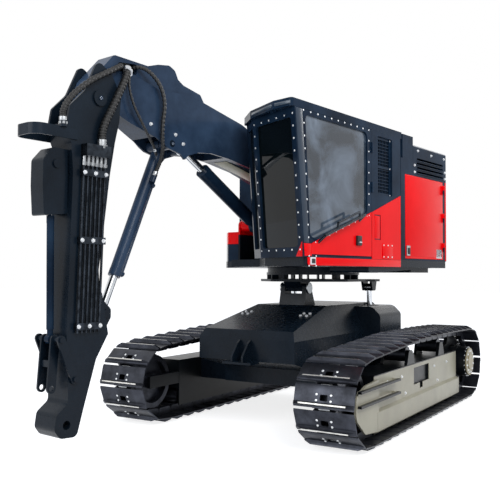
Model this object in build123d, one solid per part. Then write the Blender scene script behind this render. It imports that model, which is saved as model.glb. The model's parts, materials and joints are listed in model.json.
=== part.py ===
from build123d import *
from math import atan2, cos, hypot, pi, radians, sin, sqrt, tan
import os

# Tracked forestry harvester, millimetres.
# Undercarriage frame: X to the front, Y to the machine's left, Z up, ground at Z = 0,
# the origin halfway along the tracks. The upper is drawn straight ahead in the same
# frame and then turned about the slew axis to its parked swing.

# Undercarriage sizes
TRACK_LENGTH = 4783
TRACK_CENTRE_Y = 1298
SHOE_WIDTH = 650
LINKS = 44
SHOE_UNDERSIDE = 48
SHOE_THICKNESS = 14
GROUSER_HEIGHT = 43
GROUSER_WIDTH = 22
GROUSER_SLOPE = 70
GROUSER_PLACE = 0.12
SHOE_GAP = 5
MUD_HOLE_PLACE = 0.47
MUD_HOLE_LENGTH = 62
MUD_HOLE_WIDTH = 84
SHOE_STEP = 6
PHASE = 0.5
RAIL_DEPTH = 40
RAIL_GAUGE = 90
RAIL_WIDTH = 60
FRONT_TIP_RADIUS = 485
REAR_TIP_RADIUS = 520
CARRIER_RADIUS = 90
CARRIER_BEHIND_IDLER = 1606
CARRIER_AHEAD_OF_SPROCKET = 971
CARRIER_LINE_Z = 955
BOTTOM_ROLLER_RADIUS = 95
BOTTOM_ROLLERS = 8
ROLLER_FROM_WHEEL = 539
FRAME_TOP_Z = 700
FRAME_INNER = 180

# Body sizes
DECK_FRONT_X = 1700
DECK_HALF_WIDTH = 640
DECK_EDGE_Z = 1040
DECK_TOP_Z = 1385
BELLY_Z = 450
PIVOT_X = 470
PIVOT_Z = 1600
TILT_PIN_RADIUS = 45
LEVEL_PIN_X = -550
LEVEL_PIN_Y = 580
LEVEL_PIN_RADIUS = 32
LEVEL_FOOT_X = -620
LEVEL_FOOT_Z = 800

# Slew bearing and upper
SWING = -7.47
TABLE_Z = 1680
TABLE_THICKNESS = 30
BEARING_RADIUS = 620
UPPER_FLOOR_Z = 1862
SIDE_Y = 1331
REAR_X = -1280
HOOD_Z = 3430
FLOOR_PLATE = 90
SHEET = 40
GAP = 4
LID_Z = 2190
LID_TOP_Z = 2360
LID_HINGES = (-1250, -800)
LOUVRES = (3075, 3130, 3185, 3240)
LOUVRE_ENDS = (-1190, -410)

# Cab
CAB_REAR_X = 40
CAB_FRONT_X = 2100
CAB_WALL = 60
CAB_LEAN = 160
CAB_WALL_TOP_Z = 3450
ROOF_TOP_Z = 3533
GLASS = 12
DOOR_REAR_X = 750
DOOR_FRONT_X = 2060
DOOR_SKIN = 6

# Arm
BOOM_FOOT = (350, 0, 2450)
BOOM_HALF_WIDTH = 190
BOOM_NOSE_HALF_WIDTH = 115
BOOM_PLATE = 25
HOSE_COVER_HALF_WIDTH = 110
HOSE_POCKET_Y = 30
STICK_PIVOT = (3740, 0, 3420)
STICK_HALF_WIDTH = 150
STICK_PLATE = 27
PIN_RADIUS = 45
LIFT_PIN_RADIUS = 35
FIT = 0.3
EYE_GAP = 4
KNUCKLE_RADIUS = 11
KNUCKLE_LENGTH = 60
PINTLE_RADIUS = 6
LEAF = 34
CAB_HINGES = (2720, 3180)
HOUSE_HINGES = (2080, 2480, 2860)
CHEEK_INNER_Y = 197
CHEEK_THICKNESS = 28
LIFT_BASE = (1215, 0, 2366)
LIFT_LUG = (2500, 0, 3120)
LIFT_EYE_HALF = 60
LIFT_EYE_RADIUS = 80
LIFT_ROD_EYE_HALF = 42
LIFT_BARREL_RADIUS = 80
LIFT_BARREL_LENGTH = 1113
LIFT_ROD_RADIUS = 42
LIFT_ROD_REACH = 330
STICK_BASE = (2828, 0, 3119)
STICK_EAR = (3580, 0, 1400)
STICK_EYE_HALF = 42
STICK_BARREL_RADIUS = 60
STICK_BARREL_LENGTH = 1490
STICK_ROD_RADIUS = 40
STICK_ROD_EYE_RADIUS = 52
STICK_DRIFT = 70
CYLINDER_PORT_Y = 85
BOSS_RADIUS = 56
LINK_PIVOT = (4000, 0, 830)
LINK_END = (4150, 0, 1190)
TOOL_TOP = (4165, 0, 2760)
TOOL_BARREL_RADIUS = 33
TOOL_BARREL_LENGTH = 1110
TOOL_ROD_RADIUS = 22
LINK_PIN_RADIUS = 25
DOG_END = (4185, 0, 760)
NOSE_PIN = (4070, 0, 430)
NOSE_BORE_RADIUS = 40

# Worked out from the sizes above
SHOE_TIP = SHOE_UNDERSIDE + SHOE_THICKNESS + GROUSER_HEIGHT
IDLER = (TRACK_LENGTH / 2 - FRONT_TIP_RADIUS, FRONT_TIP_RADIUS)
SPROCKET = (-TRACK_LENGTH / 2 + REAR_TIP_RADIUS, REAR_TIP_RADIUS)
FRONT_PITCH_RADIUS = FRONT_TIP_RADIUS - SHOE_TIP
REAR_PITCH_RADIUS = REAR_TIP_RADIUS - SHOE_TIP
RAIL_TOP_Z = SHOE_TIP + RAIL_DEPTH
CARRIERS = [(IDLER[0] - CARRIER_BEHIND_IDLER, CARRIER_LINE_Z),
            (SPROCKET[0] + CARRIER_AHEAD_OF_SPROCKET, CARRIER_LINE_Z)]

nodes = {}


def corner_radius(before, here, after, wanted):
    """Wanted radius, held to what the runs on both sides of a corner leave room for."""
    run_in = hypot(here[0] - before[0], here[1] - before[1])
    run_out = hypot(after[0] - here[0], after[1] - here[1])
    turn = atan2(after[1] - here[1], after[0] - here[0]) - atan2(here[1] - before[1], here[0] - before[0])
    half = abs((turn + pi) % (2 * pi) - pi) / 2
    room = 0.48 * min(run_in, run_out) / tan(half) if half > 0.005 else 0
    return min(wanted, room) if min(wanted, room) > 1 else 0


def outline(rows):
    """Closed outline from rows of two coordinates and a corner radius."""
    around = zip(rows[-1:] + rows[:-1], rows, rows[1:] + rows[:1])
    radii = [corner_radius(before, here, after, here[2]) for before, here, after in around]
    return make_face(FilletPolyline(*[row[:2] for row in rows], radius=radii, close=True))


def side_profile(rows, y0, y1):
    """Solid whose X-Z outline has rows of x, z, corner radius."""
    return extrude(Plane.XZ.offset(-y1) * outline(rows), amount=y1 - y0, dir=(0, -1, 0))


def plan_profile(rows, z0, z1):
    """Solid whose X-Y outline has rows of x, y, corner radius."""
    return extrude(Plane.XY.offset(z0) * outline(rows), amount=z1 - z0, dir=(0, 0, 1))


def front_profile(rows, x0, x1):
    """Solid whose Y-Z outline has rows of y, z, corner radius."""
    return extrude(Plane.YZ.offset(x0) * outline(rows), amount=x1 - x0, dir=(1, 0, 0))


def block(x0, x1, y0, y1, z0, z1):
    return Pos((x0 + x1) / 2, (y0 + y1) / 2, (z0 + z1) / 2) * Box(x1 - x0, y1 - y0, z1 - z0)


def bar(start, end, radius):
    """Round bar between two points."""
    a = Vector(*start)
    b = Vector(*end)
    return extrude(Plane(origin=a, z_dir=b - a) * Circle(radius), amount=(b - a).length, dir=b - a)


def along(start, end, distance):
    """Point at a distance from start on the way to end."""
    a = Vector(*start)
    return tuple(a + (Vector(*end) - a).normalized() * distance)


def at_y(place, y):
    return (place[0], y, place[2])


def pin(place, y0, y1, radius):
    """Round bar along Y through an x, y, z place."""
    return bar((place[0], y0, place[2]), (place[0], y1, place[2]), radius)


def group(*shapes):
    """Solids that share a node without touching."""
    return Compound([s for shape in shapes for s in shape.solids()])


def upright_knuckle(x, y, z, wall_y, side, bore):
    """One half of an upright hinge: a barrel beside a leaf that lies on a wall facing +Y."""
    barrel = bar((x, y, z), (x, y, z + KNUCKLE_LENGTH), KNUCKLE_RADIUS)
    leaf = block(min(x, x + side * LEAF), max(x, x + side * LEAF), wall_y, wall_y + 5, z, z + KNUCKLE_LENGTH)
    web = block(min(x, x + side * PINTLE_RADIUS), max(x, x + side * PINTLE_RADIUS), wall_y, y, z,
                z + KNUCKLE_LENGTH)
    pintle = bar((x, y, z), (x, y, z + 2 * KNUCKLE_LENGTH), PINTLE_RADIUS)
    half = fused(barrel, leaf, web)
    return half - bar((x, y, z - 5), (x, y, z + 200), PINTLE_RADIUS + FIT) if bore else half + pintle


def both_sides(shape):
    return group(shape, mirror(shape, about=Plane.XZ))


def fused(first, *others):
    whole = first
    for other in others:
        whole = whole + other
    return whole


# Track


def belt_points():
    """Pitch line of a track, as x, z points, from under the idler forwards."""
    steps = 60
    points = []
    for i in range(steps + 1):
        turn = radians(-90 + 180 * i / steps)
        points.append((IDLER[0] + FRONT_PITCH_RADIUS * cos(turn), IDLER[1] + FRONT_PITCH_RADIUS * sin(turn)))
    points += CARRIERS
    for i in range(steps + 1):
        turn = radians(90 + 180 * i / steps)
        points.append((SPROCKET[0] + REAR_PITCH_RADIUS * cos(turn),
                       SPROCKET[1] + REAR_PITCH_RADIUS * sin(turn)))
    return points


def link_pins():
    """Places of the links' pins, evenly spaced along the pitch line."""
    line = belt_points()
    line.append(line[0])
    lengths = [hypot(b[0] - a[0], b[1] - a[1]) for a, b in zip(line, line[1:])]
    spacing = sum(lengths) / LINKS
    pins = []
    walked = 0
    for a, b, length in zip(line, line[1:], lengths):
        while len(pins) < LINKS and (len(pins) + PHASE) * spacing <= walked + length:
            share = ((len(pins) + PHASE) * spacing - walked) / length
            pins.append((a[0] + share * (b[0] - a[0]), a[1] + share * (b[1] - a[1])))
        walked += length
    return pins


def shoe_frames():
    """Start, travel direction, outward direction and length of each shoe."""
    pins = link_pins()
    frames = []
    for a, b in zip(pins, pins[1:] + pins[:1]):
        length = hypot(b[0] - a[0], b[1] - a[1])
        way = ((b[0] - a[0]) / length, (b[1] - a[1]) / length)
        frames.append((a, way, (way[1], -way[0]), length))
    return frames


def shifted(frame, along_by, out_by):
    a, way, out, length = frame
    return (a[0] + way[0] * along_by + out[0] * out_by, a[1] + way[1] * along_by + out[1] * out_by)


def corner(before, after, out_by):
    """Where two neighbouring shoes' lines meet at a distance outwards."""
    mean = (before[2][0] + after[2][0], before[2][1] + after[2][1])
    size = hypot(*mean)
    reach = out_by * 2 / size
    return (after[0][0] + mean[0] / size * reach, after[0][1] + mean[1] / size * reach)


def rail_height(x):
    """Underside of the upper run's rails at x."""
    for frame in shoe_frames():
        a, way, out, length = frame
        end = a[0] + way[0] * length
        if way[0] < 0 and end <= x <= a[0] and a[1] > FRONT_TIP_RADIUS:
            return a[1] + (a[0] - x) / -way[0] * way[1] - RAIL_DEPTH
    return FRONT_TIP_RADIUS


def track():
    """One closed loop of shoes with their grousers, on two rails of links."""
    frames = shoe_frames()
    top = SHOE_UNDERSIDE + SHOE_THICKNESS
    outer = []
    inner = []
    rail_inner = []
    for before, frame in zip(frames[-1:] + frames[:-1], frames):
        outer += [shifted(frame, SHOE_GAP, top), shifted(frame, frame[3] - SHOE_GAP, top)]
        outer.append(shifted(frame, frame[3] - SHOE_GAP, top - SHOE_STEP))
        outer.append(shifted(frame, frame[3], top - SHOE_STEP))
        inner.append(corner(before, frame, SHOE_UNDERSIDE))
        rail_inner.append(corner(before, frame, -RAIL_DEPTH))
    half = SHOE_WIDTH / 2

    def ring(outside, inside, y0, y1):
        face = make_face(Polyline(*outside, close=True)) - make_face(Polyline(*inside, close=True))
        return extrude(Plane.XZ.offset(-y1) * face, amount=y1 - y0, dir=(0, -1, 0))

    loop = ring(outer, inner, -half, half)
    rails = [ring(inner, rail_inner, y - RAIL_WIDTH / 2, y + RAIL_WIDTH / 2)
             for y in (-RAIL_GAUGE, RAIL_GAUGE)]
    grousers = []
    for frame in frames:
        foot = shifted(frame, frame[3] * GROUSER_PLACE, top)
        out = Vector(frame[2][0], 0, frame[2][1])
        way = Vector(frame[1][0], 0, frame[1][1])
        plane = Plane(origin=(foot[0], 0, foot[1]), x_dir=(0, 1, 0), z_dir=Vector(0, 1, 0).cross(out))
        blade = make_face(Polyline(
            (-half, 0), (-half + GROUSER_SLOPE, GROUSER_HEIGHT), (half - GROUSER_SLOPE, GROUSER_HEIGHT),
            (half, 0), close=True,
        ))
        grousers.append(extrude(plane * blade, amount=GROUSER_WIDTH, dir=way))
    for frame in frames:
        middle = shifted(frame, frame[3] * MUD_HOLE_PLACE, SHOE_UNDERSIDE)
        along_shoe = (frame[1][0], 0, frame[1][1])
        plane = Plane(origin=(middle[0], 0, middle[1]), x_dir=along_shoe, z_dir=(frame[2][0], 0, frame[2][1]))
        loop = loop - plane * Box(MUD_HOLE_LENGTH, MUD_HOLE_WIDTH, 4 * SHOE_THICKNESS)
    return loop + rails + grousers


def side_frame():
    """Closed side beam of a track with its guards, yoke and step bars, outside towards +Y."""
    front = IDLER[0] - 438
    rear = SPROCKET[0] + 440
    core_z0 = RAIL_TOP_Z + 2 * BOTTOM_ROLLER_RADIUS + 15
    core = block(rear, front, -165, 175, core_z0, FRAME_TOP_Z)
    guard = front_profile(
        [(175, FRAME_TOP_Z, 0), (175, 340, 0), (217, 318, 0), (217, 118, 0), (165, 78, 0), (150, 78, 0),
         (150, FRAME_TOP_Z, 0)],
        rear - 130, front,
    )
    skirt = block(rear - 130, front, -FRAME_INNER, -165, 140, FRAME_TOP_Z)
    end_rib = block(front - 40, front, 150, 215, 130, 660)
    nose = side_profile(
        [(front, 660, 0), (front + 300, 640, 60), (front + 560, 560, 80), (front + 560, 330, 120),
         (front + 330, 150, 60), (front, 118, 0)],
        190, 215,
    )
    yokes = [block(front - 60, IDLER[0] + 120, y - 21, y + 21, IDLER[1] - 70, IDLER[1] + 70)
             for y in (-156, 156)]
    yoke_ribs = [block(front + 60, front + 130, 170, 195, IDLER[1] - 60, IDLER[1] + 60)]
    steps = []
    for z in (455, 600):
        steps.append(block(front - 578, front + 538, 215, 262, z - 12, z + 12))
        steps.append(block(front - 578, front - 528, 170, 262, z - 12, z + 12))
    tail = side_profile(
        [(rear + 20, FRAME_TOP_Z, 0), (rear + 20, 250, 0), (SPROCKET[0] + 150, 235, 80),
         (SPROCKET[0] - 210, 330, 180),
         (SPROCKET[0] - 210, FRAME_TOP_Z, 180)],
        -FRAME_INNER, -135,
    )
    pocket = block(-361, 211, 145, 300, 446, 648) + block(-121, -9, 150, 300, 380, 447)
    beam = fused(core, guard, skirt, end_rib, nose, tail, *yokes, *yoke_ribs, *steps) - pocket
    return fused(beam, *carrier_brackets().solids())


def idler():
    """Front idler with its centre flange between the rails."""
    centre = (IDLER[0], 0, IDLER[1])
    chord = pi * FRONT_PITCH_RADIUS * 2 / round(2 * pi * FRONT_PITCH_RADIUS / link_spacing())
    tread = sqrt(FRONT_PITCH_RADIUS ** 2 - (chord / 2) ** 2) - RAIL_DEPTH - 3
    wheel = pin(centre, -120, 120, tread)
    flange = pin(centre, -52, 52, tread + 18)
    recess = pin(centre, 50, 130, tread - 60)
    hub = pin(centre, -134.7, 134.7, 90)
    return (wheel + flange) - recess - mirror(recess, about=Plane.XZ) + hub


def link_spacing():
    frames = shoe_frames()
    return max(frame[3] for frame in frames)


def final_drive():
    """Sprocket with its teeth between the rails, and the drive's hub outside."""
    centre = (SPROCKET[0], 0, SPROCKET[1])
    teeth = 11
    tip = REAR_PITCH_RADIUS + 5
    root = REAR_PITCH_RADIUS - 50
    points = []
    for i in range(teeth):
        for share, radius in ((-0.36, root), (-0.12, tip), (0.12, tip), (0.36, root)):
            turn = 2 * pi * (i + share) / teeth
            points.append((centre[0] + radius * cos(turn), centre[2] + radius * sin(turn)))
    wheel = extrude(Plane.XZ.offset(-25) * make_face(Polyline(*points, close=True)), amount=50,
                    dir=(0, -1, 0))
    housing = pin(centre, -134.7, 130, 235)
    drum = pin(centre, 130, 262, 215)
    hub = pin(centre, 262, 292, 195)
    cap = pin(centre, 292, 302, 110)
    return fused(wheel, housing, drum, hub, cap)


def rollers():
    """Bottom and carrier rollers, each on its shaft."""
    shapes = []
    first = SPROCKET[0] + ROLLER_FROM_WHEEL
    last = IDLER[0] - ROLLER_FROM_WHEEL
    for i in range(BOTTOM_ROLLERS):
        x = first + i * (last - first) / (BOTTOM_ROLLERS - 1)
        place = (x, 0, RAIL_TOP_Z + BOTTOM_ROLLER_RADIUS + FIT)
        shapes.append(pin(place, -128, 128, BOTTOM_ROLLER_RADIUS) + pin(place, -164.7, 149.7, 40))
    for x, z in CARRIERS:
        place = (x, 0, carrier_z(x))
        shapes.append(pin(place, -128, 128, CARRIER_RADIUS) + pin(place, -131.7, 131.7, 30))
    return group(*shapes)


def carrier_z(x):
    return min(rail_height(x + dx) for dx in (-30, 0, 30)) - CARRIER_RADIUS - FIT


def carrier_brackets():
    """Posts on the side beam that hold the carrier rollers' shafts."""
    shapes = []
    for x, z in CARRIERS:
        top = carrier_z(x) + 45
        shapes.append(side_profile(
            [(x - 130, FRAME_TOP_Z, 0), (x + 130, FRAME_TOP_Z, 0), (x + 60, top, 40), (x - 60, top, 40)], 132,
            170))
    return both_sides(group(*shapes))


def place_left(shape):
    return Pos(0, TRACK_CENTRE_Y, 0) * shape


def place_right(shape):
    return mirror(place_left(shape), about=Plane.XZ)


def undercarriage():
    for side, place in (("left", place_left), ("right", place_right)):
        nodes["track_" + side] = place(track())
        nodes["track_frame_" + side] = place(side_frame())
        nodes["final_drive_" + side] = place(final_drive())
        nodes["rollers_" + side] = place(group(idler(), rollers()))


def car_body():
    """Belly, legs to the track frames and the sloped deck that carries the front pivot."""
    inner = TRACK_CENTRE_Y - FRAME_INNER
    belly = block(-1050, 1150, -DECK_HALF_WIDTH, DECK_HALF_WIDTH, BELLY_Z, DECK_EDGE_Z)
    legs = [block(x - 220, x + 220, -inner, inner, 430, 690) for x in (-780, 780)]
    deck = side_profile(
        [(-1050, 900, 0), (-1050, 1250, 0), (-900, DECK_TOP_Z, 0), (600, DECK_TOP_Z, 0),
         (DECK_FRONT_X - 60, 1135, 0),
         (DECK_FRONT_X, DECK_EDGE_Z, 0), (DECK_FRONT_X, 785, 0), (1150, 640, 0)],
        -DECK_HALF_WIDTH, DECK_HALF_WIDTH,
    )
    trim = DECK_HALF_WIDTH
    side_cut = front_profile([(trim - 150, DECK_TOP_Z + 10, 0), (trim + 10, DECK_TOP_Z + 10, 0),
                              (trim + 10, 1030, 0), (trim, 1030, 0)], -1200, 1800)
    body = fused(belly, *legs, deck) - side_cut - mirror(side_cut, about=Plane.XZ)
    housing = front_profile(
        [(330, 900, 0), (330, 1350, 0), (760, 1350, 120), (870, 1240, 80), (870, 690, 0), (500, 690, 0)],
        -1000, -230,
    )
    body = fused(body, housing, mirror(housing, about=Plane.XZ))
    well = bar((LEVEL_FOOT_X, LEVEL_PIN_Y, 700), (LEVEL_FOOT_X, LEVEL_PIN_Y, 1500), 105)
    slot = block(LEVEL_FOOT_X - 150, LEVEL_FOOT_X + 150, LEVEL_PIN_Y - 75, LEVEL_PIN_Y + 75, 740, 1500)
    body = body - well - slot
    body = body - mirror(well, about=Plane.XZ) - mirror(slot, about=Plane.XZ)
    return fused(body, pedestal(), tow_bracket())


def pedestal():
    """Fork on the deck that holds the tilting table's front pin."""
    outline = [
        (300, DECK_TOP_Z, 0), (PIVOT_X - 65, PIVOT_Z + 20, 0), (PIVOT_X - 40, PIVOT_Z + 55, 30),
        (PIVOT_X + 40, PIVOT_Z + 55, 30), (PIVOT_X + 65, PIVOT_Z + 20, 0), (590, DECK_TOP_Z, 0),
    ]
    fork = side_profile(outline, -185, 185)
    slot = block(200, 700, -125, 125, PIVOT_Z - 75, PIVOT_Z + 200)
    return fork - slot - pin((PIVOT_X, 0, PIVOT_Z), -200, 200, TILT_PIN_RADIUS + FIT)


def tilt_pin():
    centre = (PIVOT_X, 0, PIVOT_Z)
    return fused(pin(centre, -192, 192, TILT_PIN_RADIUS), pin(centre, 186, 200, 70),
                 pin(centre, -200, -186, 70))


def tow_bracket():
    """Drawbar ears and pin on the middle of the front face."""
    ears = [side_profile([(DECK_FRONT_X, 1030, 0), (DECK_FRONT_X + 60, 990, 20),
                          (DECK_FRONT_X + 175, 850, 30),
                          (DECK_FRONT_X + 175, 790, 0), (DECK_FRONT_X, 790, 0)], y - 12, y + 12)
                          for y in (-70, 70)]
    shelf = block(DECK_FRONT_X, DECK_FRONT_X + 190, -190, 190, 765, 790)
    bore = bar((DECK_FRONT_X + 120, 0, 700), (DECK_FRONT_X + 120, 0, 900), 32)
    return fused(shelf, *ears) - bore


def table():
    """Tilting table: plate with wings for the rear cylinders, the front lug and the ribbed ring."""
    plate = plan_profile(
        [(600, 300, 60), (300, 640, 60), (-300, 640, 60), (-480, 700, 40), (-680, 700, 40), (-680, -700, 40),
         (-480, -700, 40), (-300, -640, 60), (300, -640, 60), (600, -300, 60)],
        TABLE_Z, TABLE_Z + TABLE_THICKNESS,
    )
    lug = side_profile(
        [(PIVOT_X - 170, TABLE_Z, 0), (PIVOT_X - 55, PIVOT_Z, 0), (PIVOT_X - 40, PIVOT_Z - 45, 20),
         (PIVOT_X + 40, PIVOT_Z - 45, 20), (PIVOT_X + 55, PIVOT_Z, 0), (PIVOT_X + 120, TABLE_Z, 0)],
        -118, 118,
    )
    bore = pin((PIVOT_X, 0, PIVOT_Z), -200, 200, TILT_PIN_RADIUS + FIT)
    ears = []
    for side in (-1, 1):
        for offset in (-62, 62):
            y = side * LEVEL_PIN_Y + offset
            ears.append(side_profile(
                [(LEVEL_PIN_X - 90, TABLE_Z, 0), (LEVEL_PIN_X - 50, PIVOT_Z - 45, 30),
                 (LEVEL_PIN_X + 50, PIVOT_Z - 45, 30),
                 (LEVEL_PIN_X + 90, TABLE_Z, 0)], y - 15, y + 15))
    ring = bar((0, 0, 1768), (0, 0, 1800), BEARING_RADIUS) - bar((0, 0, 1760), (0, 0, 1810),
            BEARING_RADIUS - 110)
    ribs = []
    for i in range(16):
        rib = block(BEARING_RADIUS - 100, BEARING_RADIUS - 5, -12, 12, TABLE_Z + TABLE_THICKNESS, 1768)
        ribs.append(Rot(0, 0, 360 * (i + 0.5) / 16) * rib)
    opening = bar((0, 0, TABLE_Z - 10), (0, 0, TABLE_Z + 50), 330)
    return fused(plate, lug, *ears, ring, *ribs) - bore - opening


def level_barrels():
    foot = (LEVEL_FOOT_X, LEVEL_PIN_Y, LEVEL_FOOT_Z)
    top = (LEVEL_PIN_X, LEVEL_PIN_Y, PIVOT_Z)
    run = Vector(*top) - Vector(*foot)
    way = run.normalized()
    start = Vector(*foot) + way * 45
    end = Vector(*foot) + way * 560
    barrel = bar(tuple(start), tuple(end), 62)
    bore = bar(tuple(Vector(*foot) + way * 90), tuple(end + way), 36)
    eye = pin(foot, LEVEL_PIN_Y - 50, LEVEL_PIN_Y + 50, 60)
    return both_sides(fused(barrel, eye) - bore - pin(foot, LEVEL_PIN_Y - 60, LEVEL_PIN_Y + 60,
                                                      LEVEL_PIN_RADIUS + FIT))


def level_rods():
    foot = (LEVEL_FOOT_X, LEVEL_PIN_Y, LEVEL_FOOT_Z)
    top = (LEVEL_PIN_X, LEVEL_PIN_Y, PIVOT_Z)
    way = (Vector(*top) - Vector(*foot)).normalized()
    rod = bar(tuple(Vector(*foot) + way * 200), tuple(Vector(*top) - way * 30), 35)
    eye = pin(top, LEVEL_PIN_Y - 46.7, LEVEL_PIN_Y + 46.7, 52)
    return both_sides(fused(rod, eye))


def table_pins():
    """Tilt pin of the table and the foot pins of the levelling cylinders."""
    foot = (LEVEL_FOOT_X, 0, LEVEL_FOOT_Z)
    feet = both_sides(pin(foot, LEVEL_PIN_Y - 74.7, LEVEL_PIN_Y + 74.7, LEVEL_PIN_RADIUS))
    return group(tilt_pin(), feet)


# Upper structure


def upper_base():
    """Turntable frame: floor plate with the bearing's upper ring and belly boxes."""
    floor = plan_profile(
        [(2050, SIDE_Y, 40), (1830, 620, 40), (1560, 331, 0), (1290, 331, 0), (1290, -331, 0), (560, -600, 0),
         (430, -1150, 0),
         (250, -SIDE_Y, 0), (REAR_X, -SIDE_Y, 40), (REAR_X, SIDE_Y, 40)],
        UPPER_FLOOR_Z, UPPER_FLOOR_Z + FLOOR_PLATE,
    )
    ring = bar((0, 0, 1800.4), (0, 0, UPPER_FLOOR_Z), BEARING_RADIUS - 15) - bar((0, 0, 1800),
            (0, 0, UPPER_FLOOR_Z), BEARING_RADIUS - 130)
    belly = block(REAR_X + 80, -680, -1100, 1100, 1800, UPPER_FLOOR_Z)
    return fused(floor, ring, belly, belly_wedge())


def belly_wedge():
    """Closed pod under the left edge of the floor that thins out rearwards."""
    rows = [(750, UPPER_FLOOR_Z, 0), (750, 1800, 40), (560, 1795, 60), (-900, UPPER_FLOOR_Z, 0)]
    return side_profile(rows, 760, SIDE_Y - 40)


def boom_tower():
    """Cheeks that hold the boom's foot and the lift cylinder's base pin."""
    floor_z = UPPER_FLOOR_Z + FLOOR_PLATE
    x, y, z = LIFT_BASE
    rows = [
        (50, floor_z, 0), (150, 2520, 60), (250, 2600, 60), (450, 2600, 80), (x - 95, z + 90, 100),
        (x, z + 75, 60), (x + 70, z + 40, 50), (x + 70, floor_z, 0),
    ]
    cheek = side_profile(rows, CHEEK_INNER_Y, CHEEK_INNER_Y + CHEEK_THICKNESS)
    cheek = cheek - pin(BOOM_FOOT, 0, 400, PIN_RADIUS + FIT) - pin(LIFT_BASE, 0, 400, LIFT_PIN_RADIUS + FIT)
    web = block(620, 650, -CHEEK_INNER_Y, CHEEK_INNER_Y, floor_z, 2180)
    spacer = pin(LIFT_BASE, LIFT_EYE_HALF + EYE_GAP, CHEEK_INNER_Y, LIFT_EYE_RADIUS - 15)
    spacer = spacer - pin(LIFT_BASE, 0, 400, LIFT_PIN_RADIUS + FIT)
    cheek = fused(cheek, spacer)
    return fused(cheek, mirror(cheek, about=Plane.XZ), web)


def tower_pins():
    """Boom foot pin and the base pin of the lift cylinder."""
    outer = CHEEK_INNER_Y + CHEEK_THICKNESS
    foot = pin(BOOM_FOOT, -outer - 14, outer + 14, PIN_RADIUS)
    for side in (-1, 1):
        foot = foot + pin(BOOM_FOOT, side * (outer + 7) - 6.7, side * (outer + 7) + 6.7, 70)
    base = pin(LIFT_BASE, -outer - 14, outer + 14, LIFT_PIN_RADIUS)
    return group(foot, base)


def wall_lean(z):
    """Forward lean of the cab's front at a height."""
    return CAB_LEAN * (z - UPPER_FLOOR_Z) / (CAB_WALL_TOP_Z - UPPER_FLOOR_Z)


CAB_CORNERS = [(CAB_REAR_X, SIDE_Y, 0), (CAB_REAR_X, 331, 0), (1638, 331, 1), (1865, 602, 1),
               (CAB_FRONT_X, SIDE_Y, 1)]


def cab_section(z, inset):
    """Cab's plan at a height, drawn in from the outside by a wall."""
    points = [(x + wall_lean(z) * leans, y) for x, y, leans in CAB_CORNERS]
    count = len(points)
    lines = []
    for i in range(count):
        a = Vector(*points[i])
        b = Vector(*points[(i + 1) % count])
        way = (b - a).normalized()
        inward = Vector(-way.Y, way.X)
        lines.append((a + inward * inset, way))
    corners = []
    for i in range(count):
        p, d = lines[i - 1]
        q, e = lines[i]
        cross = d.X * e.Y - d.Y * e.X
        t = ((q.X - p.X) * e.Y - (q.Y - p.Y) * e.X) / cross
        corners.append((p.X + d.X * t, p.Y + d.Y * t))
    return Plane.XY.offset(z) * make_face(Polyline(*corners, close=True))


def cab_prism(z0, z1, inset):
    return loft([cab_section(z0, inset), cab_section(z1, inset)], ruled=True)


def front_plane(first, second):
    """Plane on a leaning front wall, x along the wall from first corner to second."""
    a = Vector(first[0], first[1], UPPER_FLOOR_Z)
    b = Vector(second[0], second[1], UPPER_FLOOR_Z)
    along = (b - a).normalized()
    up = Vector(CAB_LEAN, 0, CAB_WALL_TOP_Z - UPPER_FLOOR_Z)
    normal = along.cross(up).normalized()
    drawn_along = up.dot(along)
    skew = drawn_along / (up - along * drawn_along).length
    return Plane(origin=a, x_dir=along, z_dir=normal), (b - a).length, skew


def leaning(rows, skew):
    """Window outline whose upright edges follow the leaning corners of its wall."""
    return [(across + height * skew, height, radius) for across, height, radius in rows]


def wall_window(plane, rows, depth_in, depth_out):
    """Prism through a wall, outline in the wall's own plane with corner radii."""
    low = plane.offset(-depth_in)
    return extrude(low * outline(rows), amount=depth_in + depth_out, dir=plane.z_dir)


FRONT, FRONT_LENGTH, FRONT_SKEW = front_plane(CAB_CORNERS[3], CAB_CORNERS[4])
FACET, FACET_LENGTH, FACET_SKEW = front_plane(CAB_CORNERS[2], CAB_CORNERS[3])
FRONT_WINDOW = leaning(
    [(50, 190, 30), (FRONT_LENGTH - 75, 190, 60), (FRONT_LENGTH - 75, 1500, 40), (50, 1500, 30)], FRONT_SKEW)
FACET_WINDOW = leaning(
    [(45, 190, 30), (FACET_LENGTH - 35, 190, 30), (FACET_LENGTH - 35, 1500, 30), (45, 1500, 30)], FACET_SKEW)
DOOR_OUTLINE = [
    (DOOR_REAR_X, UPPER_FLOOR_Z + FLOOR_PLATE + 20, 0),
    (DOOR_FRONT_X - 70, UPPER_FLOOR_Z + FLOOR_PLATE + 20, 0),
    (DOOR_FRONT_X + 60, 3460, 0), (DOOR_REAR_X, 3460, 0),
]
DOOR_WINDOW = [(840, 2480, 60), (1900, 2140, 60), (1985, 2170, 40), (2075, 3400, 60), (840, 3400, 60)]
SIDE_WINDOW = [(500, 2450, 60), (1450, 2450, 60), (1560, 3330, 60), (500, 3330, 60)]
MESH_WINDOW = [(250, 2710, 20), (600, 2710, 20), (600, 3400, 20), (250, 3400, 20)]


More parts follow.
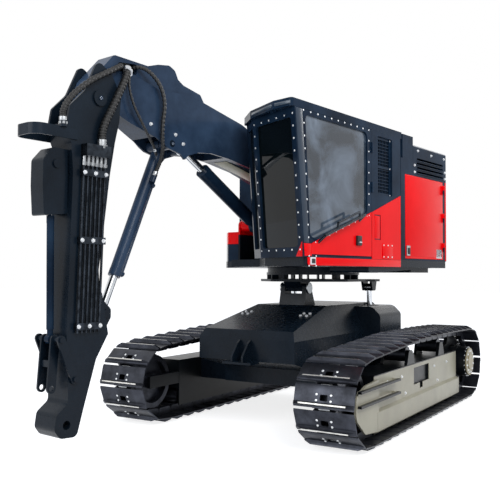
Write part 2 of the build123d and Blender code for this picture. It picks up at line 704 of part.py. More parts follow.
def cab_shell():
    """Hollow cab with its openings for windows, door and mesh."""
    floor_z = UPPER_FLOOR_Z + FLOOR_PLATE
    shell = cab_prism(floor_z, CAB_WALL_TOP_Z, 0) - cab_prism(floor_z + 40, CAB_WALL_TOP_Z - 50, CAB_WALL)
    shell = shell - wall_window(FRONT, FRONT_WINDOW, CAB_WALL + 40, 40)
    shell = shell - wall_window(FACET, FACET_WINDOW, CAB_WALL + 40, 40)
    shell = shell - side_profile(SIDE_WINDOW, 300, 331 + CAB_WALL + 10)
    shell = shell - side_profile(MESH_WINDOW, SIDE_Y - CAB_WALL - 10, SIDE_Y + 10)
    shell = shell - side_profile(DOOR_OUTLINE, SIDE_Y - CAB_WALL - 10, SIDE_Y + 10)
    knuckles = [upright_knuckle(DOOR_REAR_X, SIDE_Y + KNUCKLE_RADIUS, z, SIDE_Y, -1, False)
                for z in CAB_HINGES]
    return fused(shell, *knuckles)


def cab_glass():
    pane = [wall_window(plane, outline, CAB_WALL * 0.5 + GLASS, -CAB_WALL * 0.5)
            for plane, outline in ((FRONT, FRONT_WINDOW), (FACET, FACET_WINDOW))]
    side = side_profile(SIDE_WINDOW, 331 + 20, 331 + 20 + GLASS)
    return group(*pane, side)


def cab_roof():
    """Roof plate with its faceted visor and the box behind it."""
    plate = plan_profile(
        [(CAB_REAR_X - 60, SIDE_Y - 5, 20), (CAB_REAR_X - 60, 331, 20), (1838, 331, 0), (2065, 602, 0),
         (2275, 1075, 0), (2302, SIDE_Y - 5, 30)],
        CAB_WALL_TOP_Z, ROOF_TOP_Z,
    )
    return group(plate, cab_rear_box())


def cab_door():
    frame_rows = [
        (DOOR_REAR_X + GAP, UPPER_FLOOR_Z + FLOOR_PLATE + 20 + GAP, 0),
        (DOOR_FRONT_X - 70 - GAP, UPPER_FLOOR_Z + FLOOR_PLATE + 20 + GAP, 0),
        (DOOR_FRONT_X + 60 - GAP, 3460 - 10 - GAP, 0), (DOOR_REAR_X + GAP, 3460 - 10 - GAP, 0),
    ]
    door = side_profile(frame_rows, SIDE_Y - CAB_WALL, SIDE_Y)
    door = door - side_profile(DOOR_WINDOW, SIDE_Y - CAB_WALL - 10, SIDE_Y + 10)
    knuckles = [
        upright_knuckle(DOOR_REAR_X, SIDE_Y + KNUCKLE_RADIUS, z + KNUCKLE_LENGTH + FIT, SIDE_Y, 1, True)
        for z in CAB_HINGES
    ]
    return fused(door, *knuckles)


def door_glass():
    return side_profile(DOOR_WINDOW, SIDE_Y - 35, SIDE_Y - 35 + GLASS)


def door_panel():
    """Raised lower plate of the door with its diagonal top edge."""
    floor_z = UPPER_FLOOR_Z + FLOOR_PLATE + 30
    rows = [(DOOR_REAR_X + 8, floor_z, 0), (DOOR_FRONT_X - 85, floor_z, 0), (1960, 2095, 0),
            (DOOR_REAR_X + 8, 2490, 0)]
    return side_profile(rows, SIDE_Y + FIT, SIDE_Y + DOOR_SKIN)


def side_panel():
    floor_z = UPPER_FLOOR_Z + FLOOR_PLATE
    rows = [(CAB_REAR_X + 8, floor_z, 0), (DOOR_REAR_X - 4, floor_z, 0), (DOOR_REAR_X - 4, 2492, 0),
            (CAB_REAR_X + 8, 2740, 0)]
    panel = side_profile(rows, SIDE_Y + FIT, SIDE_Y + DOOR_SKIN)
    return panel - block(545, 690, SIDE_Y - 5, SIDE_Y + 20, 2180, 2470)


def handrail():
    a = (1840, SIDE_Y + 80, 2170)
    b = (1030, SIDE_Y + 80, 2440)
    rail = bar(a, b, 16)
    for x, y, z in (a, b):
        rail = rail + bar((x, SIDE_Y - 20, z - 80), (x, y + 4, z), 15)
    front, rear = along(a, b, 270), along(a, b, 730)
    raised = [(x, y, z + 62) for x, y, z in (front, rear)]
    rail = fused(rail, bar(*raised, 13), bar(front, raised[0], 13), bar(rear, raised[1], 13))
    return rail - block(900, 2000, SIDE_Y - 60, SIDE_Y + DOOR_SKIN + FIT, 2000, 2500)


def mesh_grille():
    """Bars in the narrow window behind the door."""
    frame = side_profile(MESH_WINDOW, SIDE_Y - 45, SIDE_Y - 25)
    hole = side_profile([(280, 2740, 10), (570, 2740, 10), (570, 3370, 10), (280, 3370, 10)], SIDE_Y - 60,
                        SIDE_Y)
    grille = frame - hole
    for i in range(1, 8):
        x = 280 + i * 290 / 8
        grille = grille + block(x - 4, x + 4, SIDE_Y - 42, SIDE_Y - 34, 2735, 3375)
    for i in range(1, 16):
        z = 2740 + i * 630 / 16
        grille = grille + block(275, 575, SIDE_Y - 36, SIDE_Y - 28, z - 4, z + 4)
    return grille + block(275, 575, SIDE_Y - 45, SIDE_Y - 25, 3030, 3060)


def seat():
    floor_z = UPPER_FLOOR_Z + FLOOR_PLATE + 40
    base = block(900, 1250, 680, 980, floor_z, floor_z + 330)
    cushion = Pos(1110, 830, floor_z + 390) * Box(540, 520, 120)
    back = side_profile([(790, floor_z + 380, 60), (910, floor_z + 380, 20), (830, floor_z + 1120, 60),
                         (710, floor_z + 1120, 60)], 590, 1070)
    return fused(base, cushion, back)


def controls():
    """Armrest pods with their levers, and the pedals."""
    floor_z = UPPER_FLOOR_Z + FLOOR_PLATE + 40
    shapes = []
    for y in (500, 1120):
        pod = side_profile([(950, floor_z + 560, 30), (1420, floor_z + 560, 30), (1420, floor_z + 640, 40),
                            (950, floor_z + 640, 20)], y - 50, y + 50)
        post = block(1000, 1080, y - 30, y + 30, floor_z, floor_z + 570)
        lever = bar((1360, y, floor_z + 630), (1390, y, floor_z + 800), 18)
        shapes.append(fused(pod, post, lever))
    pedals = [side_profile([(1560, floor_z, 0), (1720, floor_z, 0), (1760, floor_z + 160, 0),
                            (1735, floor_z + 165, 0)], y - 60, y + 60) for y in (760, 940)]
    return group(*shapes, *pedals)


# Engine house


def engine_house():
    """Sheet walls of the engine house, open for its door and its rear grille."""
    z0 = UPPER_FLOOR_Z + FLOOR_PLATE
    top, front, step = HOOD_Z - 60, CAB_REAR_X - 10, -304
    outer = side_profile([(REAR_X, z0, 0), (REAR_X, top, 0), (step, top, 0), (step, 3220, 0),
                          (front, 3220, 0), (front, z0, 0)],
                         -SIDE_Y + 60, SIDE_Y)
    inner = side_profile(
        [(REAR_X + SHEET, z0 - 5, 0), (REAR_X + SHEET, top - SHEET, 0), (step - SHEET, top - SHEET, 0),
         (step - SHEET, 3220 - SHEET, 0),
         (front - SHEET, 3220 - SHEET, 0), (front - SHEET, z0 - 5, 0)],
        -SIDE_Y + 60 + SHEET, SIDE_Y - SHEET,
    )
    shell = outer - inner
    shell = shell - block(-1180, -80, SIDE_Y - SHEET - 5, SIDE_Y + 5, z0 + 20, 3030)
    shell = shell - block(REAR_X - 5, REAR_X + SHEET + 5, -950, 950, 2350, 3190)
    knuckles = [upright_knuckle(-1180, SIDE_Y + KNUCKLE_RADIUS, z, SIDE_Y, -1, False) for z in HOUSE_HINGES]
    for z in LOUVRES:
        shell = shell - block(*LOUVRE_ENDS, SIDE_Y - SHEET - 5, SIDE_Y + 5, z, z + 26)
        blade = [(SIDE_Y - SHEET, z + 22, 0), (SIDE_Y + 10, z - 8, 0), (SIDE_Y + 10, z - 14, 0),
                 (SIDE_Y - SHEET, z + 16, 0)]
        knuckles.append(front_profile(blade, *LOUVRE_ENDS))
    return fused(shell, engine_hood(), *knuckles)


def engine_hood():
    z0 = HOOD_Z - 60
    rows = [(-SIDE_Y + 60, z0, 0), (-SIDE_Y + 60, HOOD_Z - 10, 50), (SIDE_Y, HOOD_Z, 50), (SIDE_Y, z0, 0)]
    return front_profile(rows, REAR_X, -304)


def engine_door():
    z0 = UPPER_FLOOR_Z + FLOOR_PLATE + 20 + GAP
    door = block(-1180 + GAP, -80 - GAP, SIDE_Y - SHEET, SIDE_Y, z0, 3030 - GAP)
    knuckles = [
        upright_knuckle(-1180, SIDE_Y + KNUCKLE_RADIUS, z + KNUCKLE_LENGTH + FIT, SIDE_Y, 1, True)
        for z in HOUSE_HINGES
    ]
    return fused(door, *knuckles)


def engine():
    return block(-1000, -250, -800, 800, UPPER_FLOOR_Z + FLOOR_PLATE, 2800)


def rear_grille():
    frame = block(REAR_X + 5, REAR_X + 35, -949.7, 949.7, 2350.3, 3189.7) - block(REAR_X, REAR_X + 60, -900,
            900, 2400, 3140)
    slats = [block(REAR_X + 8, REAR_X + 30, -905, 905, 2400 + i * 74 + 20, 2400 + i * 74 + 50)
             for i in range(10)]
    return fused(frame, *slats)


def counterweight():
    rows = [(REAR_X, -1100, 0), (REAR_X - 160, -700, 200), (REAR_X - 160, 700, 200), (REAR_X, 1100, 0)]
    return plan_profile(rows, 1880, 2300)


def box_rows(inset):
    """Plan of the box in front of the engine house on the right, drawn in by a wall."""
    return [
        (60 + inset, -600 - inset, 0), (60 + inset, -SIDE_Y + inset, 0),
        (240 - inset * 0.4, -SIDE_Y + inset, 20),
        (420 - inset, -1150 + inset * 0.4, 20), (420 - inset, -600 - inset, 20),
    ]


def tool_box():
    z0 = UPPER_FLOOR_Z + FLOOR_PLATE
    box = plan_profile(box_rows(0), z0, LID_Z) - plan_profile(box_rows(30), z0 + 30, LID_Z + 10)
    axis = (60 - KNUCKLE_RADIUS, 0, LID_TOP_Z)
    for y in LID_HINGES:
        arm = block(axis[0] - 3, 60, y, y + KNUCKLE_LENGTH, LID_Z - 60, LID_Z)
        stem = block(axis[0] - 3, axis[0] + 3, y, y + KNUCKLE_LENGTH, LID_Z - 60, LID_TOP_Z)
        box = fused(box, arm, stem, pin(axis, y, y + KNUCKLE_LENGTH, KNUCKLE_RADIUS))
        box = box + pin(axis, y, y + 2 * KNUCKLE_LENGTH, PINTLE_RADIUS)
    return box


def box_lid():
    """Deep lid on knuckles along its rear top edge."""
    lid = plan_profile(box_rows(0), LID_Z + GAP, LID_TOP_Z)
    axis = (60 - KNUCKLE_RADIUS, 0, LID_TOP_Z)
    for y in LID_HINGES:
        start = y + KNUCKLE_LENGTH + FIT
        leaf = block(axis[0], 64, start, start + KNUCKLE_LENGTH, LID_TOP_Z - 3, LID_TOP_Z + 3)
        lid = fused(lid, leaf, pin(axis, start, start + KNUCKLE_LENGTH, KNUCKLE_RADIUS))
        lid = lid - pin(axis, start - 5, start + 200, PINTLE_RADIUS + FIT)
    return lid


# Arm


BOOM_BOTTOM = [
    (400, 2320, 100), (1000, 2860, 200), (1500, 3000, 300), (1930, 3070, 300), (2230, 3095, 100),
    (2441, 3075, 60),
    (2591, 3026, 20), (2644, 2972, 12), (2697, 3022, 20), (2885, 3064, 60), (3035, 3150, 60),
    (3475, 3312, 60),
    (3600, 3300, 60), (3700, 3255, 140),
]
BOOM_TOP = [
    (3890, 3380, 150), (3800, 3600, 40), (3540, 3890, 20), (3400, 3780, 0), (3000, 3640, 100),
    (2700, 3660, 100),
    (2528, 3664, 100), (1690, 3490, 500), (900, 3130, 300), (240, 2560, 110),
]
HOSE_COVER = [
    (3530, 3600, 0), (3540, 3889, 20), (3100, 3878, 40), (2960, 3925, 60), (2800, 3952, 60), (2715, 3915, 80),
    (2670, 3830, 40),
    (2590, 3785, 60), (2330, 3734, 0), (2200, 3560, 0), (3000, 3560, 0),
]
HOSE_POCKET = [(3245, 3750, 30), (3492, 3745, 30), (3492, 3830, 30), (3245, 3860, 30)]


def boom():
    """Cranked box boom that narrows to its nose, open below for both cylinders, with its hose cover."""
    body = side_profile(BOOM_BOTTOM + BOOM_TOP, -BOOM_HALF_WIDTH, BOOM_HALF_WIDTH)
    half, nose = BOOM_HALF_WIDTH + 1, BOOM_NOSE_HALF_WIDTH
    taper = plan_profile(
        [
            (100, -half, 0), (2950, -half, 200), (3330, -nose, 200), (4000, -nose, 0),
            (4000, nose, 0), (3330, nose, 200), (2950, half, 200), (100, half, 0),
        ],
        2200, 4100,
    )
    inner = BOOM_HALF_WIDTH - BOOM_PLATE
    roof_z = LIFT_LUG[2] + 170
    pocket = side_profile(
        [(2000, 2800, 0), (2000, 3160, 40), (2250, roof_z, 80), (3000, roof_z, 60), (3060, 3200, 0),
         (3060, 2800, 0)],
        -inner, inner,
    )
    body = (body - pocket) & taper
    for place, eye_half in ((LIFT_LUG, LIFT_ROD_EYE_HALF), (STICK_BASE, STICK_EYE_HALF)):
        boss = pin(place, eye_half + EYE_GAP, inner + 5, BOSS_RADIUS)
        body = fused(body, boss, mirror(boss, about=Plane.XZ))
    cover = side_profile(HOSE_COVER, -HOSE_COVER_HALF_WIDTH, HOSE_COVER_HALF_WIDTH)
    body = fused(body, cover) - side_profile(HOSE_POCKET, HOSE_POCKET_Y, HOSE_COVER_HALF_WIDTH + 20)
    body = body - pin(STICK_BASE, -300, 300, LIFT_PIN_RADIUS + FIT)
    return body - pin(BOOM_FOOT, -300, 300, PIN_RADIUS + FIT) - pin(STICK_PIVOT, -300, 300, PIN_RADIUS + FIT)


def boom_pins():
    """Base pin of the stick cylinder."""
    return pin(STICK_BASE, -BOOM_HALF_WIDTH - 4, BOOM_HALF_WIDTH + 4, LIFT_PIN_RADIUS)


def cylinder_barrel(base, tip, length, radius, eye_half, bore_radius, eye_radius, hole):
    """Barrel with its base eye; base and tip are the pins at each end."""
    tube = bar(along(base, tip, eye_radius + 45), along(base, tip, length), radius)
    collar = bar(along(base, tip, length - 70), along(base, tip, length), radius + 2)
    neck = bar(base, along(base, tip, eye_radius + 60), eye_half * 0.9)
    eye = pin(base, base[1] - eye_half, base[1] + eye_half, eye_radius)
    bore = bar(along(base, tip, eye_radius + 70), along(base, tip, length + 1), bore_radius)
    return fused(tube, collar, neck, eye) - bore - pin(base, base[1] - 200, base[1] + 200, hole)


def cylinder_rod(base, tip, reach, radius, eye_half, eye_radius):
    """Rod from a distance inside the barrel to the eye at its tip."""
    rod = bar(along(base, tip, reach), tip, radius)
    eye = pin(tip, tip[1] - eye_half, tip[1] + eye_half, eye_radius)
    return rod + eye


def lift_barrels():
    return cylinder_barrel(LIFT_BASE, LIFT_LUG, LIFT_BARREL_LENGTH, LIFT_BARREL_RADIUS, LIFT_EYE_HALF,
                           LIFT_ROD_RADIUS + 1, LIFT_EYE_RADIUS, LIFT_PIN_RADIUS + FIT)


def lift_rods():
    return cylinder_rod(LIFT_BASE, LIFT_LUG, LIFT_ROD_REACH, LIFT_ROD_RADIUS, LIFT_ROD_EYE_HALF, 58)


def stick_barrel():
    """Barrel of the stick cylinder with the port that its hose enters and the pipe to its lower end."""
    barrel = cylinder_barrel(STICK_BASE, STICK_EAR, STICK_BARREL_LENGTH, STICK_BARREL_RADIUS, STICK_EYE_HALF,
                             STICK_ROD_RADIUS + 1, 62, LIFT_PIN_RADIUS + FIT)
    end = at_y(along(STICK_BASE, STICK_EAR, 380), CYLINDER_PORT_Y)
    port = bar(end, at_y(along(STICK_BASE, STICK_EAR, 450), CYLINDER_PORT_Y), 28)
    return fused(barrel, port, *cylinder_pipe())


def cylinder_pipe():
    """Steel pipe down the back of the stick cylinder's barrel, held by two rings."""
    way = Vector(*STICK_EAR) - Vector(*STICK_BASE)
    back = Vector(way.Z, 0, -way.X).normalized() * (STICK_BARREL_RADIUS + 24)
    top = Vector(*along(STICK_BASE, STICK_EAR, 420)) + back
    foot = Vector(*along(STICK_BASE, STICK_EAR, STICK_BARREL_LENGTH - 30)) + back
    pipe = bar(tuple(top), tuple(foot), 13)
    rings = []
    for distance in (430, STICK_BARREL_LENGTH - 60):
        centre = Vector(*along(STICK_BASE, STICK_EAR, distance))
        rings.append(bar(tuple(centre + back * 0.6), tuple(centre + back * 1.2), 24))
    return [pipe] + rings


def stick_rod():
    return cylinder_rod(STICK_BASE, STICK_EAR, 480, STICK_ROD_RADIUS, STICK_EYE_HALF, STICK_ROD_EYE_RADIUS)


def stick():
    """Tapered box stick: head plates round the boom's nose, ears at the back, eye at the foot."""
    rows = [
        (3590, 3670, 60), (3760, 3780, 60), (3910, 3460, 120), (4070, 3300, 60), (4110, 3090, 40),
        (4050, 2950, 40), (4030, 2700, 0),
        (4070, 1540, 0), (4080, 1190, 0), (4060, 1000, 0), (4060, 620, 60), (4180, 530, 60), (4200, 400, 60),
        (4140, 320, 60),
        (3960, 310, 60), (3890, 550, 0), (3750, 990, 60), (3520, 1360, 40), (3520, 1440, 40),
        (3715, 1620, 60), (3730, 1810, 100),
        (3690, 2090, 0), (3610, 2700, 0), (3550, 3030, 0), (3500, 3230, 60), (3480, 3480, 100),
    ]
    body = side_profile(rows, -STICK_HALF_WIDTH, STICK_HALF_WIDTH)
    inner = STICK_HALF_WIDTH - STICK_PLATE
    mouth = side_profile(
        [(3300, 3080, 0), (3560, 3080, 0), (3900, 3080, 60), (4300, 3200, 0), (4300, 4000, 0),
         (3300, 4000, 0)], -inner, inner)
    slot_back = STICK_EAR[0] + STICK_ROD_EYE_RADIUS + STICK_DRIFT
    ear_slot = side_profile([(3400, 1240, 0), (slot_back, 1240, 0), (slot_back, 1720, 0), (3400, 1720, 0)],
                            -STICK_EYE_HALF - 6, STICK_EYE_HALF + 6)
    tail = STICK_EYE_HALF + 34
    ear_side = side_profile([(3300, 1150, 0), (3600, 1150, 0), (3700, 1660, 0), (3300, 1700, 0)], tail, 400)
    body = body - mouth - ear_slot - ear_side - mirror(ear_side, about=Plane.XZ)
    body = body - pin(STICK_PIVOT, -300, 300, PIN_RADIUS + FIT) - pin(NOSE_PIN, -300, 300, NOSE_BORE_RADIUS)
    body = body - pin(LINK_PIVOT, -300, 300, LINK_PIN_RADIUS + FIT)
    return body


def stick_pins():
    """Pivot pin through the boom's nose and the ear's pin ends."""
    width = STICK_HALF_WIDTH + 20
    pivot = pin(STICK_PIVOT, -width, width, PIN_RADIUS)
    for side in (-1, 1):
        y = side * (STICK_HALF_WIDTH + 10)
        pivot = pivot + pin(STICK_PIVOT, y - 9.7, y + 9.7, 75)
    link = pin(LINK_PIVOT, -width - 20, width + 20, LINK_PIN_RADIUS)
    caps = both_sides(pin(STICK_EAR, STICK_EYE_HALF + 34, STICK_EYE_HALF + 54, 40))
    return group(pivot, link, caps)


def tool_guard():
    """Open-bottomed cover round the top of the tool cylinder."""
    rows = [(4043.7, 2320, 0), (4048, 2900, 0), (4200, 2905, 40), (4304, 2790, 60), (4308, 2560, 40),
            (4292, 2290, 20)]
    cover = side_profile(rows, -92, 92)
    inner_rows = [(4000, 2200, 0), (4000, 2889, 0), (4193, 2889, 30), (4288, 2784, 50), (4292, 2562, 30),
                  (4270, 2200, 0)]
    cover = cover - side_profile(inner_rows, -76, 76)
    caps = pin(TOOL_TOP, 92, 108, 40)
    return fused(cover, caps, mirror(caps, about=Plane.XZ))


def hose_hoop():
    """Loop of flat band that guides the tool's hoses."""
    inner, outer = STICK_HALF_WIDTH + FIT, STICK_HALF_WIDTH + FIT + 12
    rows = [(3990, -outer, 0), (4450, -outer, 110), (4450, outer, 110), (3990, outer, 0)]
    inner_rows = [(3900, -inner, 0), (4438, -inner, 98), (4438, inner, 98), (3900, inner, 0)]
    fitting = bar((4150, 157, 3085), (4150, 157, 3140), 36) - plan_profile(inner_rows, 2900, 3090)
    hoop = plan_profile(rows, 2990, 3090) - plan_profile(inner_rows, 2900, 3200)
    return fused(hoop, fitting)


def stick_tubes():
    """Six steel tubes down the stick's left side with their clamps."""
    shapes = []
    for i in range(6):
        x = 3745 + i * 48
        y = STICK_HALF_WIDTH + 26
        shapes.append(bar((x - 60, y, 2850), (x, y, 1240), 12))
    clamps = []
    for z, shift in ((2700, -54), (2080, -31), (1300, -2)):
        clamps.append(block(3720 + shift, 4010 + shift, STICK_HALF_WIDTH + FIT, STICK_HALF_WIDTH + 46, z - 32,
                            z + 32))
    manifold = block(3665, 3945, STICK_HALF_WIDTH + FIT, STICK_HALF_WIDTH + 90, 2850, 2960)
    return fused(clamps[0], *clamps[1:], *shapes, manifold)


def tool_rod():
    rod = bar(TOOL_TOP, along(TOOL_TOP, LINK_END, 1440), TOOL_ROD_RADIUS)
    eye = pin(TOOL_TOP, -35, 35, 42)
    return rod + eye


def tool_barrel():
    return cylinder_barrel(LINK_END, TOOL_TOP, TOOL_BARREL_LENGTH, TOOL_BARREL_RADIUS, 30,
                           TOOL_ROD_RADIUS + 1, 42, LINK_PIN_RADIUS + FIT)


def tool_link():
    """Two plates outside the stick's foot, tied by the pin that carries cylinder and hanger."""
    y0 = STICK_HALF_WIDTH + 6
    way = Vector(*LINK_END) - Vector(*LINK_PIVOT)
    side = Vector(-way.Z, 0, way.X).normalized() * 42
    a, b = Vector(*LINK_PIVOT), Vector(*LINK_END)
    corners = [a + side, b + side, b - side, a - side]
    plate = side_profile([(c.X, c.Z, 0) for c in corners], y0, y0 + 18)
    plate = plate + pin(LINK_PIVOT, y0, y0 + 18, 42) + pin(LINK_END, y0, y0 + 18, 42)
    plate = plate - pin(LINK_PIVOT, 0, 400, LINK_PIN_RADIUS + FIT)
    cross = pin(LINK_END, -y0 - 30, y0 + 30, LINK_PIN_RADIUS)
    return fused(plate, mirror(plate, about=Plane.XZ), cross)


def tool_hanger():
    """Short pair of plates that hangs from the link's pin, for the tool."""
    way = Vector(*DOG_END) - Vector(*LINK_END)
    side = Vector(-way.Z, 0, way.X).normalized() * 45
    a, b = Vector(*LINK_END), Vector(*DOG_END)
    corners = [a + side, b + side, b - side, a - side]
    plate = side_profile([(c.X, c.Z, 0) for c in corners], 62, 82)
    plate = plate + pin(LINK_END, 62, 82, 45) + pin(DOG_END, 62, 82, 45)
    middle = along(LINK_END, DOG_END, 215)
    web = Pos(middle[0], 0, middle[2]) * Box(50, 124, 60)
    whole = fused(plate, mirror(plate, about=Plane.XZ), web)
    return whole - pin(LINK_END, -200, 200, LINK_PIN_RADIUS + FIT) - pin(DOG_END, -200, 200, LINK_PIN_RADIUS)


def cab_rear_box():
    return block(-300, CAB_REAR_X - 60.3, 331, SIDE_Y, 3220, 3520)


LOWER = {
    "car_body": car_body, "table_pins": table_pins, "tilt_table": table, "level_barrels": level_barrels,
    "level_rods": level_rods,
}
UPPER = {
    "upper_base": upper_base, "boom_tower": boom_tower, "tower_pins": tower_pins,
    "cab_shell": cab_shell, "cab_glass": cab_glass, "cab_roof": cab_roof, "cab_door": cab_door,
    "door_glass": door_glass, "door_panel": door_panel, "side_panel": side_panel, "handrail": handrail,
    "mesh_grille": mesh_grille, "seat": seat, "controls": controls, "engine_house": engine_house,
    "engine_door": engine_door, "engine": engine, "rear_grille": rear_grille,
    "counterweight": counterweight, "tool_box": tool_box, "box_lid": box_lid, "boom": boom,
    "boom_pins": boom_pins,
    "lift_barrels": lift_barrels, "lift_rods": lift_rods, "stick": stick, "stick_pins": stick_pins,
    "stick_barrel": stick_barrel, "stick_rod": stick_rod, "tool_guard": tool_guard,
    "hose_hoop": hose_hoop, "stick_tubes": stick_tubes, "tool_rod": tool_rod, "tool_barrel": tool_barrel,
    "tool_link": tool_link, "tool_hanger": tool_hanger,
}


undercarriage()
for name, make in LOWER.items():
    nodes[name] = make()
for name, make in UPPER.items():
    nodes[name] = Rot(0, 0, SWING) * make()
bounds = Compound(list(nodes.values())).bounding_box()
shift = (-bounds.center().X, -bounds.center().Y, -bounds.min.Z)
print("shift", [round(value, 3) for value in shift])
os.makedirs("parts", exist_ok=True)
for name, shape in nodes.items():
    export_step(Pos(*shift) * shape, f"parts/{name}.step")
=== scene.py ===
import json
from math import atan2, cos, hypot, pi, radians, sin

import bmesh
import bpy
from mathutils import Matrix, Vector


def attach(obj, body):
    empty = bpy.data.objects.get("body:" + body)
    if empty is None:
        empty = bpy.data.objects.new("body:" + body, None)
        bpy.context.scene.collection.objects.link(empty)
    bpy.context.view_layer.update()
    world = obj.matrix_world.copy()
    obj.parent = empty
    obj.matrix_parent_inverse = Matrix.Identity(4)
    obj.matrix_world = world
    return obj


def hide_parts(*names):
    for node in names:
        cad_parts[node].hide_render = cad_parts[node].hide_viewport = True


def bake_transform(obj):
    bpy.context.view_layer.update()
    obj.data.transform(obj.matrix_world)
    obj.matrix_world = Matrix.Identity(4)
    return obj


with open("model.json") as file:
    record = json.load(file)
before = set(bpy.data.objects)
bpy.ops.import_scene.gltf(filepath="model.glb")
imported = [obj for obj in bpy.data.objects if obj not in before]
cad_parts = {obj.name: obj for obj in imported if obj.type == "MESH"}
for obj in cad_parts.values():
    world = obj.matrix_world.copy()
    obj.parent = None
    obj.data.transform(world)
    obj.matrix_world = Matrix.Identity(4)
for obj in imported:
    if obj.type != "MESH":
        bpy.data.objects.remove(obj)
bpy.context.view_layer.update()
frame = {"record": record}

bl_info = {
    "name": "Forestry harvester",
    "version": (1, 0, 0),
    "blender": (4, 5, 0),
    "location": "View3D > Sidebar > Harvester",
    "description": "Finishes and fittings of a tracked forestry harvester",
    "category": "Object",
}

MM = 0.001
JOINTS = {joint["name"]: joint for joint in frame["record"]["behaviour"]["joints"]}
SLEW = Vector(JOINTS["swing"]["pos_m"])
LIFT_AXIS = Vector(JOINTS["boom_lift"]["axis"])
# the upper is parked turned about the slew axis
SWING = atan2(LIFT_AXIS.x, -LIFT_AXIS.y)


def upper(x, y, z):
    """Place on the upper and the arm, from millimetres about the slew axis with the upper straight ahead."""
    turned = Matrix.Rotation(SWING, 3, "Z") @ Vector((x, y, z)) * MM
    return turned + Vector((SLEW.x, SLEW.y, 0))


def upper_way(x, y, z):
    """Direction on the upper, as if it looked straight ahead."""
    return (Matrix.Rotation(SWING, 3, "Z") @ Vector((x, y, z))).normalized()


def lower(x, y, z):
    """Place on the undercarriage, from millimetres about the slew axis."""
    return Vector((x, y, z)) * MM + Vector((SLEW.x, SLEW.y, 0))


def body_of(node):
    """Body that a carried-over solid rides on."""
    bodies = frame["record"]["behaviour"]["bodies"]
    return next(body for body, names in bodies.items() if node in names)


# the upper's left-hand side
LEFT = upper_way(0, 1, 0)


# Panel settings


def metres(name, text, value):
    """Panel setting for a length in metres."""
    return bpy.props.FloatProperty(name=name, description=text, default=value, unit="LENGTH")


def angle(name, text, degrees):
    """Panel setting for an angle."""
    return bpy.props.FloatProperty(name=name, description=text, default=radians(degrees), subtype="ANGLE")


def linear(code):
    """Linear colour of an sRGB hex value."""
    parts = [int(code[i:i + 2], 16) / 255 for i in (1, 3, 5)]
    return [c / 12.92 if c <= 0.04045 else ((c + 0.055) / 1.055) ** 2.4 for c in parts] + [1]


def colour(name, text, code):
    """Panel setting for a colour, from an sRGB hex value."""
    shade = linear(code)[:3]
    return bpy.props.FloatVectorProperty(name=name, description=text, default=shade, subtype="COLOR")


# Materials


class PaintColours(bpy.types.PropertyGroup):
    red_shade: colour("Red, shade", "Deeper tone of the red enamel", "#f20008")
    red_tint: colour("Red, tint", "Lighter tone of the red enamel", "#ff0610")
    # the blue in these black tones is painted sky reflection
    black_shade: colour("Black, shade", "Deeper tone of the cab's enamel", "#0f1d2d")
    black_tint: colour("Black, tint", "Lighter tone of the cab's enamel", "#22364b")
    # the arm's paler tones are painted sky reflection on the same black enamel
    arm_reflection_shade: colour("Arm, shade", "Deeper tone of the boom's enamel", "#1b2a3d")
    arm_reflection_tint: colour("Arm, tint", "Lighter tone of the boom's enamel", "#384b63")
    chassis_shade: colour("Chassis, shade", "Deeper tone of the chassis paint", "#0b141d")
    chassis_tint: colour("Chassis, tint", "Lighter tone of the chassis paint", "#17222d")


# a second colour between two distances from the middle and below a height, all in metres
GUARD_FACE = (1.466, 1.519, 0.69, "#979281", "#a9a591")
HUB_FACE = (1.575, 1.61, 0.76, "#8d8467", "#a39a7c")
TOWER_FOOT = (0.0, 1.0, 2.26, "#0a0f14", "#141c24")


def tone(value):
    """Linear colour with its alpha, of an sRGB hex value or of a panel colour."""
    return linear(value) if isinstance(value, str) else (*value, 1)


def grey(value):
    """Linear grey with its alpha."""
    return (value, value, value, 1)


def add(tree, kind, links=(), **settings):
    """Adds a node with its settings and input values, and links (output, input name) into it."""
    node = tree.nodes.new(kind)
    for key, value in settings.items():
        if hasattr(node, key):
            setattr(node, key, value)
        else:
            node.inputs[key.replace("_", " ")].default_value = value
    for output, name in links:
        tree.links.new(output, node.inputs[name])
    return node


def material(name):
    """Empty material and its node tree."""
    made = bpy.data.materials.new(name)
    made.use_nodes = True
    made.node_tree.nodes.clear()
    return made, made.node_tree


def patterned(name):
    """Empty material, its node tree and the link that hands object coordinates in metres to a pattern."""
    made, tree = material(name)
    place = add(tree, "ShaderNodeTexCoord")
    return made, tree, [(place.outputs["Object"], "Vector")]


def finish(made, shader):
    """Makes a shader the surface of its material."""
    output = add(made.node_tree, "ShaderNodeOutputMaterial")
    made.node_tree.links.new(shader.outputs[0], output.inputs["Surface"])
    return made


def ramp(tree, source, *stops):
    """Colour or grey ramp on a value, from (position, colour) stops."""
    node = add(tree, "ShaderNodeValToRGB", [(source, "Fac")])
    elements = node.color_ramp.elements
    for element, (position, shade) in zip(elements, stops, strict=True):
        element.position = position
        element.color = shade
    return node.outputs["Color"]


